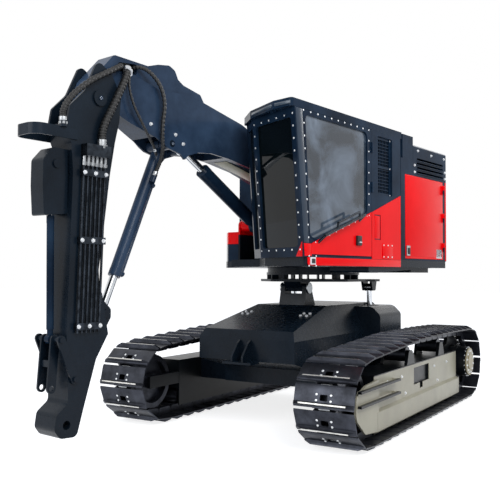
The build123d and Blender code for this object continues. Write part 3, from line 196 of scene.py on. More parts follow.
def banded(tree, at, base, inner, outer, top, dark, light):
    """Lays a second colour, such as dried soil, over the first where a face lies in a band."""
    axes = add(tree, "ShaderNodeSeparateXYZ", at)
    side = add(tree, "ShaderNodeMath", [(axes.outputs["Y"], 0)], operation="ABSOLUTE")
    middle = add(tree, "ShaderNodeMath", [(side.outputs[0], 0)], operation="COMPARE")
    middle.inputs[1].default_value = (inner + outer) / 2
    middle.inputs[2].default_value = (outer - inner) / 2
    low = add(tree, "ShaderNodeMath", [(axes.outputs["Z"], 0)], operation="LESS_THAN")
    low.inputs[1].default_value = top
    where = add(tree, "ShaderNodeMath", [(middle.outputs[0], 0), (low.outputs[0], 1)], operation="MULTIPLY")
    # blotches about 450 mm across
    clouds = add(tree, "ShaderNodeTexNoise", at, Scale=2.2, Detail=6.0)
    second = ramp(tree, clouds.outputs["Fac"], (0.3, tone(dark)), (0.7, tone(light)))
    links = [(where.outputs[0], "Factor"), (base, 6), (second, 7)]
    return add(tree, "ShaderNodeMix", links, data_type="RGBA").outputs[2]


def enamel(name, dark, light, roughness, specular, band=None):
    """Sprayed two-pack enamel over plate: even colour, a faint orange peel and a little dust."""
    made, tree, at = patterned(name)
    # tone drifts over about 600 mm, dust over 70 mm
    clouds = add(tree, "ShaderNodeTexNoise", at, Scale=1.6, Detail=5.0, Roughness=0.6)
    base = ramp(tree, clouds.outputs["Fac"], (0.35, tone(dark)), (0.7, tone(light)))
    if band:
        base = banded(tree, at, base, *band)
    dust = add(tree, "ShaderNodeTexNoise", at, Scale=14.0, Detail=6.0, Roughness=0.7)
    rough = ramp(tree, dust.outputs["Fac"], (0.4, grey(roughness)), (0.75, grey(roughness + 0.08)))
    # orange peel has lumps some 4 mm across, drawn at 12 mm so that it shows
    peel = add(tree, "ShaderNodeTexNoise", at, Scale=80.0, Detail=2.0)
    bump = add(tree, "ShaderNodeBump", [(peel.outputs["Fac"], "Height")], Strength=0.04, Distance=0.002)
    links = [(base, "Base Color"), (rough, "Roughness"), (bump.outputs["Normal"], "Normal")]
    return finish(made, add(tree, "ShaderNodeBsdfPrincipled", links, Specular_IOR_Level=specular))


def steel(name, dark, light, roughness, scale, metallic=1.0, bumps=0.25):
    """Bare or worn steel: blotched tone, roughness that follows it and a fine pitted bump."""
    made, tree, at = patterned(name)
    blotch = add(tree, "ShaderNodeTexNoise", at, Scale=scale, Detail=8.0, Roughness=0.65)
    base = ramp(tree, blotch.outputs["Fac"], (0.32, tone(dark)), (0.68, tone(light)))
    rough = ramp(tree, blotch.outputs["Fac"], (0.3, grey(roughness + 0.12)), (0.7, grey(roughness)))
    pits = add(tree, "ShaderNodeTexNoise", at, Scale=scale * 12, Detail=3.0)
    bump = add(tree, "ShaderNodeBump", [(pits.outputs["Fac"], "Height")], Strength=bumps, Distance=0.002)
    links = [(base, "Base Color"), (rough, "Roughness"), (bump.outputs["Normal"], "Normal")]
    return finish(made, add(tree, "ShaderNodeBsdfPrincipled", links, Metallic=metallic))


def pane(name, dark, light, stops, pattern, **surface):
    """Toughened glass or polycarbonate: smooth and tinted, with soft clouds of tone, which on the side pane
    are a painted sky reflection.
    """
    made, tree, at = patterned(name)
    clouds = add(tree, "ShaderNodeTexNoise", at, **pattern)
    base = ramp(tree, clouds.outputs["Fac"], (stops[0], tone(dark)), (stops[1], tone(light)))
    return finish(made, add(tree, "ShaderNodeBsdfPrincipled", [(base, "Base Color")], **surface))


def woven(name, dark, light, thread):
    """Woven cloth with threads of a given width in metres."""
    made, tree, at = patterned(name)
    # a wave texture of scale 1 has a band every 314 mm
    bands = {"Scale": 0.314 / thread, "Distortion": 0.6}
    across = add(tree, "ShaderNodeTexWave", at, bands_direction="X", **bands)
    down = add(tree, "ShaderNodeTexWave", at, bands_direction="Z", **bands)
    crossing = [(across.outputs["Fac"], 0), (down.outputs["Fac"], 1)]
    weave = add(tree, "ShaderNodeMath", crossing, operation="MULTIPLY").outputs[0]
    base = ramp(tree, weave, (0.1, tone(dark)), (0.7, tone(light)))
    bump = add(tree, "ShaderNodeBump", [(weave, "Height")], Strength=0.4, Distance=0.002)
    links = [(base, "Base Color"), (bump.outputs["Normal"], "Normal")]
    return finish(made, add(tree, "ShaderNodeBsdfPrincipled", links, Roughness=0.85, Sheen_Weight=0.3))


def moulded(name, dark, light, roughness, grain=0.0015):
    """Moulded plastic or rubber with a pebbled grain of a given size in metres."""
    made, tree, at = patterned(name)
    tint = add(tree, "ShaderNodeTexNoise", at, Scale=6.0, Detail=4.0)
    base = ramp(tree, tint.outputs["Fac"], (0.35, tone(dark)), (0.7, tone(light)))
    # drawn four times coarser than it is, so that it shows
    pebble = add(tree, "ShaderNodeTexVoronoi", at, Scale=1 / (4 * grain))
    bump = add(tree, "ShaderNodeBump", [(pebble.outputs["Distance"], "Height")], Strength=0.2, Distance=0.001)
    links = [(base, "Base Color"), (bump.outputs["Normal"], "Normal")]
    return finish(made, add(tree, "ShaderNodeBsdfPrincipled", links, Roughness=roughness))


# made materials, by the key that a solid or a piece asks for
FINISHES = {}
# solids whose finish isn't that of their record slot
NODE_FINISH = {
    "boom": "arm_enamel", "stick_barrel": "arm_enamel", "boom_tower": "tower_enamel",
    "stick": "frame_black", "tool_guard": "frame_black",
    "stick_pins": "frame_black", "boom_pins": "frame_black",
    "track_frame_left": "guard_enamel", "track_frame_right": "guard_enamel",
    "final_drive_left": "hub_enamel", "final_drive_right": "hub_enamel",
    "door_glass": "hazy_pane", "handrail": "tube_steel",
}


def make_finishes():
    """Makes every finish, from the panel's colours where it has them."""
    paint = bpy.context.scene.harvester_paint
    FINISHES.update(
        # two-pack enamel, sprayed on plate: black with a thin sheen, its blue tint a painted reflection of
        # the sky
        black_paint=enamel("black_enamel", paint.black_shade, paint.black_tint, 0.14, 0.06),
        # the same black enamel on the arm, painted paler and bluer as a reflection of the sky
        arm_enamel=enamel("arm_enamel", paint.arm_reflection_shade, paint.arm_reflection_tint, 0.18, 0.12),
        # the tower between the boom's cheeks, red over a black foot
        tower_enamel=enamel("tower_enamel", "#e60008", "#f6040e", 0.2, 0.1, TOWER_FOOT),
        # the same enamel in signal red
        red_paint=enamel("red_enamel", paint.red_shade, paint.red_tint, 0.2, 0.1),
        # chassis paint: satin black, dulled by dust
        frame_black=enamel("chassis_enamel", paint.chassis_shade, paint.chassis_tint, 0.26, 0.14),
        # chassis paint under a film of dried pale soil on the flat side guards
        guard_enamel=enamel("guard_enamel", "#0a0c0f", "#14181c", 0.3, 0.2, GUARD_FACE),
        # the same on the hub caps of the final drives
        hub_enamel=enamel("hub_enamel", "#0a0c0f", "#14181c", 0.3, 0.2, HUB_FACE),
        # corner post of the cab, painted blue-grey as a reflection of the sky
        corner_enamel=enamel("corner_enamel", "#2a3644", "#374555", 0.2, 0.2),
        # pale enamel inside the nose and under the boom
        cream_enamel=enamel("cream_enamel", "#b9b49a", "#cbc6ad", 0.3, 0.4),
        # blank enamelled plate, white and a little chalky
        plate_white=enamel("white_enamel", "#dfe1e1", "#f3f4f4", 0.35, 0.4),
        # rolled and hardened shoe steel, blackened and handled
        track_steel=steel("shoe_steel", "#26282e", "#43464f", 0.30, 6.0, 0.85),
        # grouser edges scrubbed bright by the ground
        worn_steel=steel("scrubbed_steel", "#b7b7b4", "#e9e8e4", 0.32, 15.0),
        # zinc-plated steel, grey with a soft spangle
        pin_steel=steel("zinc_plated_steel", "#8f9398", "#c5c8ca", 0.28, 20.0),
        # small zinc-plated heads, painted paler than the zinc-plated pins as a highlight
        bolt_zinc=steel("bright_zinc", "#d6d9dc", "#f4f6f7", 0.35, 30.0, 0.6),
        # hard chrome, ground smooth: nearly a mirror
        rod_chrome=steel("hard_chrome", "#b9bdc2", "#d9dcdf", 0.06, 3.0, 1.0, 0.05),
        # cast iron under thin dark paint, rough as it left the mould
        engine_iron=steel("painted_cast_iron", "#1c1d1f", "#2c2d2f", 0.6, 9.0, 0.2),
        # tube with a black oxide skin, rubbed paler in places
        tube_steel=steel("black_oxide_tube", "#14171c", "#3d444d", 0.22, 12.0, 0.9),
        # dark tinted glass, through which the cab's inside barely shows
        tinted_glass=pane(
            "tinted_glass", "#070d0f", "#10191c", (0.3, 0.7), {"Scale": 1.3, "Detail": 1.0},
            Roughness=0.02, IOR=1.45, Specular_IOR_Level=0.2, Transmission_Weight=0.2),
        # polycarbonate side pane, its pale clouds a painted reflection of a cloudy sky
        hazy_pane=pane(
            "hazy_pane", "#26323e", "#7d8d9f", (0.36, 0.66),
            {"Scale": 1.7, "Detail": 5.0, "Roughness": 0.55, "Distortion": 0.6},
            Roughness=0.06, IOR=1.58, Transmission_Weight=0.25),
        # seat cloth with 4 mm threads, matt with a little sheen
        seat_cloth=woven("seat_cloth", "#141519", "#2c2e33", 0.004),
        # moulded plastic of the consoles, satin
        console_plastic=moulded("console_plastic", "#1a1b1d", "#27282b", 0.5),
        # black rubber of hoses, dulled by weather
        hose_rubber=moulded("hose_rubber", "#050607", "#0c0d0f", 0.5, 0.003),
        # matt rubber of seals and grips
        seal_rubber=moulded("seal_rubber", "#08090a", "#101113", 0.6),
        # smoked lamp lens, unlit, with a ribbed face
        lamp_lens=moulded("lamp_lens", "#3c4651", "#5b6772", 0.15, 0.004),
    )


# Modelling helpers


def edit(thing, kind, test):
    """Opens a mesh for editing with only those faces, edges or verts selected that pass a test."""
    bpy.context.view_layer.objects.active = thing
    bpy.ops.object.mode_set(mode="EDIT")
    bpy.ops.mesh.select_mode(type={"faces": "FACE", "edges": "EDGE", "verts": "VERT"}[kind])
    bpy.ops.mesh.select_all(action="DESELECT")
    mesh = bmesh.from_edit_mesh(thing.data)
    for part in getattr(mesh, kind):
        part.select_set(bool(test(part)))
    mesh.select_flush_mode()
    bmesh.update_edit_mesh(thing.data)


def close(thing):
    """Leaves a mesh's editing and hands the shape back."""
    bpy.ops.object.mode_set(mode="OBJECT")
    return thing


def bevelled(thing, test, width, segments=2):
    """Bevels the edges that pass a test."""
    edit(thing, "edges", test)
    bpy.ops.mesh.bevel(offset=width, segments=segments)
    return close(thing)


def topped(thing, inwards, rise):
    """Draws a smaller face in on a shape's top and moves it up or down."""
    edit(thing, "faces", lambda face: face.normal.z > 0.9)
    bpy.ops.mesh.inset(thickness=inwards)
    bpy.ops.transform.translate(value=(0, 0, rise))
    return close(thing)


def fresh(kind, **sizes):
    """Adds a primitive with nothing else selected."""
    bpy.ops.object.select_all(action="DESELECT")
    getattr(bpy.ops.mesh, f"primitive_{kind}_add")(**sizes)
    bpy.ops.object.transform_apply(location=True, rotation=True, scale=True)
    return bpy.context.object


def picked(*things):
    """Selects only these things, the first of them active."""
    bpy.ops.object.select_all(action="DESELECT")
    for thing in things:
        thing.select_set(True)
    bpy.context.view_layer.objects.active = things[0]


def joined(things):
    """Joins shapes into the first."""
    picked(*things)
    bpy.ops.object.join()
    return bpy.context.object


def moved(thing, place):
    """Moves a shape's mesh, so that its object stays at the origin."""
    thing.data.transform(place)
    if place.determinant() < 0:
        thing.data.flip_normals()
    return thing


def repeat(thing, places):
    """Copies a finished shape to each place, each copy with its own mesh, and joins the copies."""
    copies = []
    for place in places:
        copy = thing.copy()
        copy.data = thing.data.copy()
        bpy.context.collection.objects.link(moved(copy, place))
        copies.append(copy)
    bpy.data.objects.remove(thing)
    return joined(copies)


def axes_at(place, x, y, z):
    """Frame at a place, from its three axes."""
    return Matrix.Translation(Vector(place)) @ Matrix((x, y, z)).transposed().to_4x4()


def facing(place, normal, up=(0, 0, 1)):
    """Frame at a place, Z along the normal and Y as near to up as it can be."""
    z = Vector(normal).normalized()
    x = Vector(up).cross(z).normalized()
    return axes_at(place, x, z.cross(x), z)


def plate(points, depth, bevel=0.0):
    """Plate of any outline in X-Y, raised by a depth in Z, its upper edges bevelled."""
    bpy.ops.object.select_all(action="DESELECT")
    bpy.ops.mesh.primitive_circle_add(vertices=len(points), radius=1, fill_type="NGON")
    made = bpy.context.object
    for vertex, point in zip(made.data.vertices, points):
        vertex.co = Vector((point[0], point[1], 0))
    edit(made, "faces", lambda face: True)
    bpy.ops.mesh.normals_make_consistent(inside=False)
    bpy.ops.mesh.extrude_region_move(TRANSFORM_OT_translate={"value": (0, 0, depth)})
    bpy.ops.mesh.select_all(action="SELECT")
    bpy.ops.mesh.normals_make_consistent(inside=False)
    close(made)
    if bevel:
        bevelled(made, lambda edge: min(v.co.z for v in edge.verts) > depth * 0.9, bevel)
    return made


def hex_bolt(radius):
    """Hexagon head with a raised middle, on its washer."""
    height = radius * 0.8
    middle = (0, 0, radius * 0.2 + height / 2)
    head = fresh("cylinder", vertices=6, radius=radius, depth=height, location=middle)
    topped(head, radius * 0.18, radius * 0.12)
    thick = radius * 0.2
    washer = fresh("cylinder", vertices=12, radius=radius * 1.35, depth=thick, location=(0, 0, radius * 0.1))
    bevelled(washer, lambda edge: min(v.co.z for v in edge.verts) > radius * 0.15, radius * 0.06, 1)
    return joined([head, washer])


def button_bolt(radius):
    """Low domed head."""
    head = fresh("cylinder", vertices=10, radius=radius, depth=radius * 0.4, location=(0, 0, radius * 0.2))
    return topped(head, radius * 0.35, radius * 0.25)


def box(size, at=(0, 0, 0), bevel=0.0):
    """Block of a size on a place, its edges bevelled."""
    made = fresh("cube", size=1)
    moved(made, Matrix.Translation(Vector(at)) @ Matrix.Diagonal((*size, 1)))
    if bevel:
        bevelled(made, lambda edge: True, bevel)
    return made


def rod(start, end, radius, vertices=16):
    """Round bar between two places, its rims bevelled."""
    a, b = Vector(start), Vector(end)
    reach = (b - a).length
    made = fresh("cylinder", vertices=vertices, radius=radius, depth=reach, location=(0, 0, reach / 2))
    edit(made, "faces", lambda face: abs(face.normal.z) > 0.9)
    bpy.ops.mesh.inset(thickness=radius * 0.12)
    close(made)
    up = (1, 0, 0) if abs((b - a).normalized().z) > 0.9 else (0, 0, 1)
    return moved(made, facing(a, b - a, up))


def coat(thing, key):
    """Gives a whole shape one finish."""
    thing.data.materials.clear()
    thing.data.materials.append(FINISHES[key])
    return thing


def paint(thing, key, test):
    """Gives the faces that pass a test a further finish."""
    thing.data.materials.append(FINISHES[key])
    edit(thing, "faces", test)
    thing.active_material_index = len(thing.data.materials) - 1
    bpy.ops.object.material_slot_assign()
    return close(thing)


def dress(thing, name, body=None, smooth=30):
    """Names a finished piece, smooths it and lets it ride on a body."""
    thing.name = name
    thing.data.name = name
    picked(thing)
    bpy.ops.object.shade_smooth_by_angle(angle=radians(smooth))
    if body:
        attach(thing, body)
    return thing


def bolted(shape, places, name, body):
    """Repeats a bolt's head at its places as one finished piece."""
    return dress(coat(repeat(shape, places), "bolt_zinc"), name, body)


def circle(radius, count, offset=0):
    """Points round a circle, the first a share of a step on from X."""
    turns = [2 * pi * (i + offset) / count for i in range(count)]
    return [(radius * cos(turn), radius * sin(turn)) for turn in turns]


def evenly(points, spacing):
    """Places about a spacing apart along a line of points, ends included."""
    places = []
    for a, b in zip(points, points[1:]):
        a, b = Vector(a), Vector(b)
        count = max(1, round((b - a).length / spacing))
        places += [a.lerp(b, i / count) for i in range(count)]
    return places + [Vector(points[-1])]


# Stage


class HarvesterStage(bpy.types.PropertyGroup):
    eye: bpy.props.FloatVectorProperty(
        name="Eye", description="Camera's place", default=(7.5883, 4.375, 1.782), subtype="XYZ")
    yaw: angle("Yaw", "Turn of the view about the vertical", 31.970)
    pitch: angle("Pitch", "Upward tilt of the view", 1.891)
    roll: angle("Roll", "Turn about the line of sight", 0.152)
    lens: bpy.props.FloatProperty(name="Lens", description="Focal length", default=51.348, unit="CAMERA")


# name, place and size in metres, power in watts
LAMPS = [
    ("key", (6, 9, 9), (7, 5), 800),
    ("fill", (12, -4, 6), (8, 5), 400),
    ("rim", (-9, 3, 8), (6, 5), 400),
]
# place on the machine that the lamps face
LIT_MIDDLE = (0, 0, 1.8)


def aimed_lamp(name, place, target, size, energy):
    """Rectangular soft lamp turned towards a target."""
    lamp = bpy.data.lights.new(name, "AREA")
    lamp.shape = "RECTANGLE"
    lamp.size, lamp.size_y = size
    lamp.energy = energy
    holder = bpy.data.objects.new(name, lamp)
    bpy.context.collection.objects.link(holder)
    holder.location = place
    holder.rotation_euler = (Vector(target) - Vector(place)).to_track_quat("-Z", "Y").to_euler()


def seen_white(tree):
    """One where a surface is seen by the camera, by gloss or through glass."""
    rays = add(tree, "ShaderNodeLightPath").outputs
    straight = [(rays["Is Camera Ray"], 0), (rays["Is Glossy Ray"], 1)]
    seen = add(tree, "ShaderNodeMath", straight, operation="MAXIMUM")
    through = [(seen.outputs[0], 0), (rays["Is Transmission Ray"], 1)]
    return add(tree, "ShaderNodeMath", through, operation="MAXIMUM").outputs[0]


def pale_ground():
    """Pale floor that keeps the shadows and otherwise shows white."""
    made, tree = material("studio_floor")
    seen = seen_white(tree)
    diffuse = add(tree, "ShaderNodeBsdfDiffuse", Color=grey(0.62))
    glow = add(tree, "ShaderNodeEmission", [(seen, "Strength")], Color=grey(0.80))
    return finish(made, add(tree, "ShaderNodeAddShader", [(diffuse.outputs[0], 0), (glow.outputs[0], 1)]))


def studio_world():
    """Cool even light that shows white wherever it is seen."""
    world = bpy.data.worlds.new("studio")
    world.use_nodes = True
    tree = world.node_tree
    tree.nodes.clear()
    seen = seen_white(tree)
    lit = add(tree, "ShaderNodeBackground", Color=(0.80, 0.87, 1.0, 1), Strength=0.6)
    white = add(tree, "ShaderNodeBackground", Color=grey(1.0), Strength=1.0)
    links = [(seen, "Fac"), (lit.outputs[0], 1), (white.outputs[0], 2)]
    both = add(tree, "ShaderNodeMixShader", links)
    add(tree, "ShaderNodeOutputWorld", [(both.outputs[0], "Surface")])
    return world


class HARVESTER_OT_stage(bpy.types.Operator):
    """Floor, lights and the camera at the photograph's viewpoint"""
    bl_idname = "harvester.stage"
    bl_label = "Stage"

    def execute(self, context):
        sizes = context.scene.harvester_stage
        view = bpy.data.cameras.new("camera")
        view.lens = sizes.lens
        # full-frame sensor, in millimetres
        view.sensor_width = 36
        view.clip_end = 200
        camera = bpy.data.objects.new("camera", view)
        context.collection.objects.link(camera)
        level = cos(sizes.pitch)
        ahead = Vector((-cos(sizes.yaw) * level, -sin(sizes.yaw) * level, sin(sizes.pitch)))
        right = ahead.cross(Vector((0, 0, 1))).normalized()
        up = right.cross(ahead)
        turned_right = cos(sizes.roll) * right + sin(sizes.roll) * up
        turned_up = cos(sizes.roll) * up - sin(sizes.roll) * right
        camera.matrix_world = axes_at(sizes.eye, turned_right, turned_up, -ahead)
        context.scene.camera = camera

        floor = fresh("plane", size=120, location=(0, 0, -0.001))
        floor.name = "floor"
        floor.data.materials.append(pale_ground())
        context.scene.world = studio_world()
        for name, place, size, power in LAMPS:
            aimed_lamp(name, place, LIT_MIDDLE, size, power)
        context.scene.view_settings.view_transform = "Standard"
        return {"FINISHED"}


class HARVESTER_OT_finishes(bpy.types.Operator):
    """Gives each carried-over solid the finish of its material slot"""
    bl_idname = "harvester.finishes"
    bl_label = "Finishes of the solids"

    def execute(self, context):
        make_finishes()
        for row in frame["record"]["subparts"]:
            node = row["node"]
            coat(bpy.data.objects[node], NODE_FINISH.get(node, row["material_slot"]))
        return {"FINISHED"}


# Tracks


class TrackSizes(bpy.types.PropertyGroup):
    links: bpy.props.IntProperty(name="Links", description="Shoes in one track", default=44)
    length: metres("Length", "Track over the grousers", 4.783)
    centre: metres("Centre", "Track's middle from the machine's", 1.298)
    front_radius: metres("Front radius", "Idler's reach over the grousers", 0.485)
    rear_radius: metres("Rear radius", "Sprocket's reach over the grousers", 0.520)
    carrier_front: metres("Front carrier", "Carrier roller behind the idler", 1.606)
    carrier_rear: metres("Rear carrier", "Carrier roller ahead of the sprocket", 0.971)
    carrier_line: metres("Carrier line", "Pitch line's height over the carriers", 0.955)
    width: metres("Shoe width", "Width of a shoe", 0.650)
    underside: metres("Underside", "Shoe's underside from the pitch line", 0.048)
    thickness: metres("Plate", "Shoe plate's thickness", 0.014)
    grouser: metres("Grouser", "Height of the grouser", 0.043)
    slope: metres("Slope", "Sloped end of the grouser", 0.070)
    rail_gauge: metres("Rail gauge", "Link rail from the track's middle", 0.090)
    rail_width: metres("Rail width", "Width of a link rail", 0.060)
    rail_depth: metres("Rail depth", "Rail inwards of the pitch line", 0.040)
    hole_width: metres("Hole width", "Mud hole across the shoe", 0.084)
    hole_length: metres("Hole length", "Mud hole along the shoe", 0.062)
    bolt: metres("Bolt", "Radius of a shoe bolt's head", 0.013)


def pitch_line(sizes):
    """Closed pitch line of a track as x, z points, from under the idler forwards."""
    tip = sizes.underside + sizes.thickness + sizes.grouser
    idler = (sizes.length / 2 - sizes.front_radius, sizes.front_radius, sizes.front_radius - tip, -90)
    sprocket = (sizes.rear_radius - sizes.length / 2, sizes.rear_radius, sizes.rear_radius - tip, 90)
    carrier_x = (idler[0] - sizes.carrier_front, sprocket[0] + sizes.carrier_rear)
    carriers = [(x, sizes.carrier_line) for x in carrier_x]
    # short chords round each half turn
    steps = 60
    line = []
    for (x, z, radius, start), after in ((idler, carriers), (sprocket, [])):
        for i in range(steps + 1):
            turn = radians(start + 180 * i / steps)
            line.append((x + radius * cos(turn), z + radius * sin(turn)))
        line += after
    return line + line[:1]


def link_places(sizes, side):
    """Place of each link on one track: X along its travel, Z outwards."""
    line = pitch_line(sizes)
    lengths = [hypot(b[0] - a[0], b[1] - a[1]) for a, b in zip(line, line[1:])]
    spacing = sum(lengths) / sizes.links
    pins = []
    walked = 0
    for a, b, length in zip(line, line[1:], lengths):
        while len(pins) < sizes.links and (len(pins) + 0.5) * spacing <= walked + length:
            share = ((len(pins) + 0.5) * spacing - walked) / length
            pins.append((a[0] + share * (b[0] - a[0]), a[1] + share * (b[1] - a[1])))
        walked += length
    places = []
    for a, b in zip(pins, pins[1:] + pins[:1]):
        way = Vector((b[0] - a[0], 0, b[1] - a[1]))
        out = Vector((way.z, 0, -way.x)).normalized()
        stretch = Matrix.Diagonal((way.length / spacing, 1, 1, 1))
        start = lower(a[0] / MM, side * sizes.centre / MM, a[1] / MM)
        places.append(axes_at(start, way.normalized(), out.cross(way).normalized(), out) @ stretch)
    return places, spacing


def upended(shape, edge):
    """Stands a plate up, its depth running across the track from an edge."""
    return moved(shape, Matrix(((1, 0, 0, 0), (0, 0, -1, edge), (0, 1, 0, 0), (0, 0, 0, 1))))


# share of the pitch at which the mud hole and the bolts lie
SHOE_MIDDLE = 0.47


def shoe_plate(sizes, pitch):
    """Single grouser plate with curled edges, sloped grouser ends and its mud hole."""
    low = sizes.underside
    top = low + sizes.thickness
    tip = top + sizes.grouser
    rib = pitch * 0.12 + 0.011
    outline = [
        (0.004, low), (pitch - 0.016, low), (pitch + 0.004, low - 0.006), (pitch + 0.010, low + 0.004),
        (pitch - 0.010, top), (rib + 0.020, top), (rib + 0.013, top + 0.010), (rib + 0.007, tip),
        (rib - 0.007, tip), (rib - 0.013, top + 0.010), (rib - 0.022, top), (0.004, top),
    ]
    shoe = upended(plate(outline, sizes.width), sizes.width / 2)
    for side in (-1, 1):
        edit(shoe, "verts", lambda vert: vert.co.z > tip - 0.001 and vert.co.y * side > 0)
        bpy.ops.transform.translate(value=(0, -side * sizes.slope, 0))
        close(shoe)
    hole = box((sizes.hole_length, sizes.hole_width, 0.1), (pitch * SHOE_MIDDLE, 0, low))
    bevelled(hole, lambda edge: abs(edge.verts[0].co.z - edge.verts[1].co.z) > 0.05, 0.012)
    cut = shoe.modifiers.new("mud_hole", "BOOLEAN")
    cut.object = hole
    bpy.context.view_layer.objects.active = shoe
    bpy.ops.object.modifier_apply(modifier="mud_hole")
    bpy.data.objects.remove(hole)
    coat(shoe, "track_steel")
    return paint(shoe, "worn_steel", lambda face: face.calc_center_median().z > tip - 0.003)


def track_link(sizes, pitch):
    """One shoe with its bolts, two link rails and the pin between them."""
    shapes = [shoe_plate(sizes, pitch)]
    top = sizes.underside + sizes.thickness
    bolts = [
        Matrix.Translation((pitch * SHOE_MIDDLE + along, side * 0.078, top))
        for along in (-0.030, 0.030) for side in (-1, 1)
    ]
    shapes.append(coat(repeat(button_bolt(sizes.bolt), bolts), "bolt_zinc"))
    depth = sizes.rail_depth
    rail = [
        (0.001, 0.002), (0.012, -depth * 0.7), (0.035, -depth), (pitch - 0.035, -depth),
        (pitch - 0.012, -depth * 0.7), (pitch - 0.001, 0.002),
        (pitch - 0.001, sizes.underside), (0.001, sizes.underside),
    ]
    for side in (-1, 1):
        link = upended(plate(rail, sizes.rail_width), side * sizes.rail_gauge + sizes.rail_width / 2)
        shapes.append(coat(link, "track_steel"))
    inner = sizes.rail_gauge - sizes.rail_width / 2
    shapes.append(coat(rod((0, -inner, 0), (0, inner, 0), 0.026, 12), "pin_steel"))
    return joined(shapes)


class HARVESTER_OT_tracks(bpy.types.Operator):
    """Both tracks, link by link"""
    bl_idname = "harvester.tracks"
    bl_label = "Tracks"

    def execute(self, context):
        sizes = context.scene.harvester_tracks
        for name, side in (("left", 1), ("right", -1)):
            places, pitch = link_places(sizes, side)
            loop = repeat(track_link(sizes, pitch), places)
            dress(loop, f"track_shoes_{name}", body_of(f"track_{name}"))
            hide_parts(f"track_{name}")
        return {"FINISHED"}


# Hoses of the arm


class HoseSizes(bpy.types.PropertyGroup):
    bundle: metres("Bundle", "Radius of the sleeved bundle to the hoop", 0.030)
    supply: metres("Supply", "Radius of the sleeved bundle to the tubes", 0.038)
    cylinder: metres("Cylinder hose", "Radius of the stick cylinder's hose", 0.021)
    thin: metres("Thin hose", "Radius of the thin hose at the nose", 0.014)


# routes in millimetres on the upper, from the opening in the boom's nose
NOSE_TO_HOOP = [
    (3457, 40, 3790), (3457, 120, 3800), (3515, 165, 3766),
    (3694, 195, 3664), (3868, 205, 3562), (4020, 202, 3440),
    (4118, 185, 3330), (4152, 157, 3235), (4150, 157, 3180), (4150, 157, 3130),
]
NOSE_TO_TUBES = [
    (3375, 40, 3800), (3385, 120, 3798), (3430, 185, 3720),
    (3495, 200, 3600), (3560, 205, 3479), (3625, 203, 3345),
    (3690, 200, 3230), (3738, 195, 3110), (3742, 195, 3030), (3740, 195, 2950),
]
NOSE_TO_CYLINDER = [
    (3285, 40, 3815), (3270, 130, 3832), (3190, 185, 3815),
    (3090, 220, 3738), (3015, 240, 3622), (2985, 245, 3470),
    (3010, 238, 3310), (3000, 222, 3170), (2970, 205, 3060),
    (2940, 150, 2960), (2936, 100, 2880), (2957, 87, 2824),
    (2980, 85, 2768),
]
NOSE_LOOP = [
    (3322, 40, 3790), (3335, 130, 3775), (3390, 160, 3690),
    (3400, 172, 3580), (3347, 182, 3420), (3262, 190, 3290),
    (3164, 170, 3185), (3080, 150, 3105), (3010, 120, 3060), (2960, 90, 2990),
]
# fineness of a hose's section, which has 4 points and 2 more for each step of it
HOSE_SIDES = 4
# name, route, size, body it ends on, last point on the boom, first point on that body
HOSES = [
    ("hose_nose_to_hoop", NOSE_TO_HOOP, "bundle", "stick", 2, 7),
    ("hose_nose_to_tubes", NOSE_TO_TUBES, "supply", "stick", 2, 7),
    ("hose_nose_to_cylinder", NOSE_TO_CYLINDER, "cylinder", "stick_barrel", 6, 10),
    ("hose_nose_loop", NOSE_LOOP, "thin", "stick_barrel", 5, 9),
]


def tube(points, radius):
    """Round tube along a smooth line through a route's points."""
    line = bpy.data.curves.new("route", "CURVE")
    line.dimensions = "3D"
    spline = line.splines.new("NURBS")
    spline.points.add(len(points) - 1)
    for target, point in zip(spline.points, points):
        target.co = (*point, 1)
    spline.order_u = 3
    spline.use_endpoint_u = True
    line.resolution_u = 16
    line.bevel_depth = radius
    line.bevel_resolution = HOSE_SIDES
    line.use_fill_caps = True
    made = bpy.data.objects.new("route", line)
    bpy.context.collection.objects.link(made)
    picked(made)
    bpy.ops.object.convert(target="MESH")
    return bpy.context.object


def ribbed(line):
    """Draws two of each five rings of a tube in, as on a spiral hose guard."""
    ring = 4 + 2 * HOSE_SIDES
    points = line.data.vertices
    for start in range(0, len(points) - ring + 1, ring):
        if start // ring % 5 < 2:
            group = points[start:start + ring]
            centre = sum((vertex.co for vertex in group), Vector()) / ring
            for vertex in group:
                vertex.co = centre + (vertex.co - centre) * 0.8
    return line


def sleeve(place, way, radius, length, key):
    """Crimped end fitting of a hose."""
    a = Vector(place)
    b = a + Vector(way).normalized() * length
    shell = rod(a, b, radius, 16)
    nut = rod(b - (b - a) * 0.35, b, radius * 1.18, 6)
    return coat(joined([shell, nut]), key)


class HARVESTER_OT_hoses(bpy.types.Operator):
    """Hoses between the boom's nose, the stick and its cylinder"""
    bl_idname = "harvester.hoses"
    bl_label = "Hoses"

    def execute(self, context):
        sizes = context.scene.harvester_hoses
        for name, route, size, far_body, last, first in HOSES:
            radius = getattr(sizes, size)
            points = [upper(*point) for point in route]
            line = coat(ribbed(tube(points, radius)), "hose_rubber")
            run = points[-1] - points[-2]
            fitting = sleeve(points[-1] - run * 0.9, run, radius * 1.15, 2.2 * radius, "pin_steel")
            dress(line, name, smooth=60)
            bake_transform(line)
            dress(fitting, name + "_end", far_body)
        start, following = (upper(*point) for point in NOSE_TO_TUBES[1:3])
        run = following - start
        collar = sleeve(start + run * 0.35, run, sizes.supply * 1.2, 0.065, "rod_chrome")
        dress(collar, "supply_collar", "boom")
        return {"FINISHED"}


# Seat


class SeatSizes(bpy.types.PropertyGroup):
    voxel: metres("Voxel", "Cell of the cushions' mesh", 0.008)
    pressure: bpy.props.FloatProperty(
        name="Pressure", description="How firmly the cushions are filled", default=4.0)
    swell: metres("Swell", "Furthest that a cushion's face may rise", 0.012)


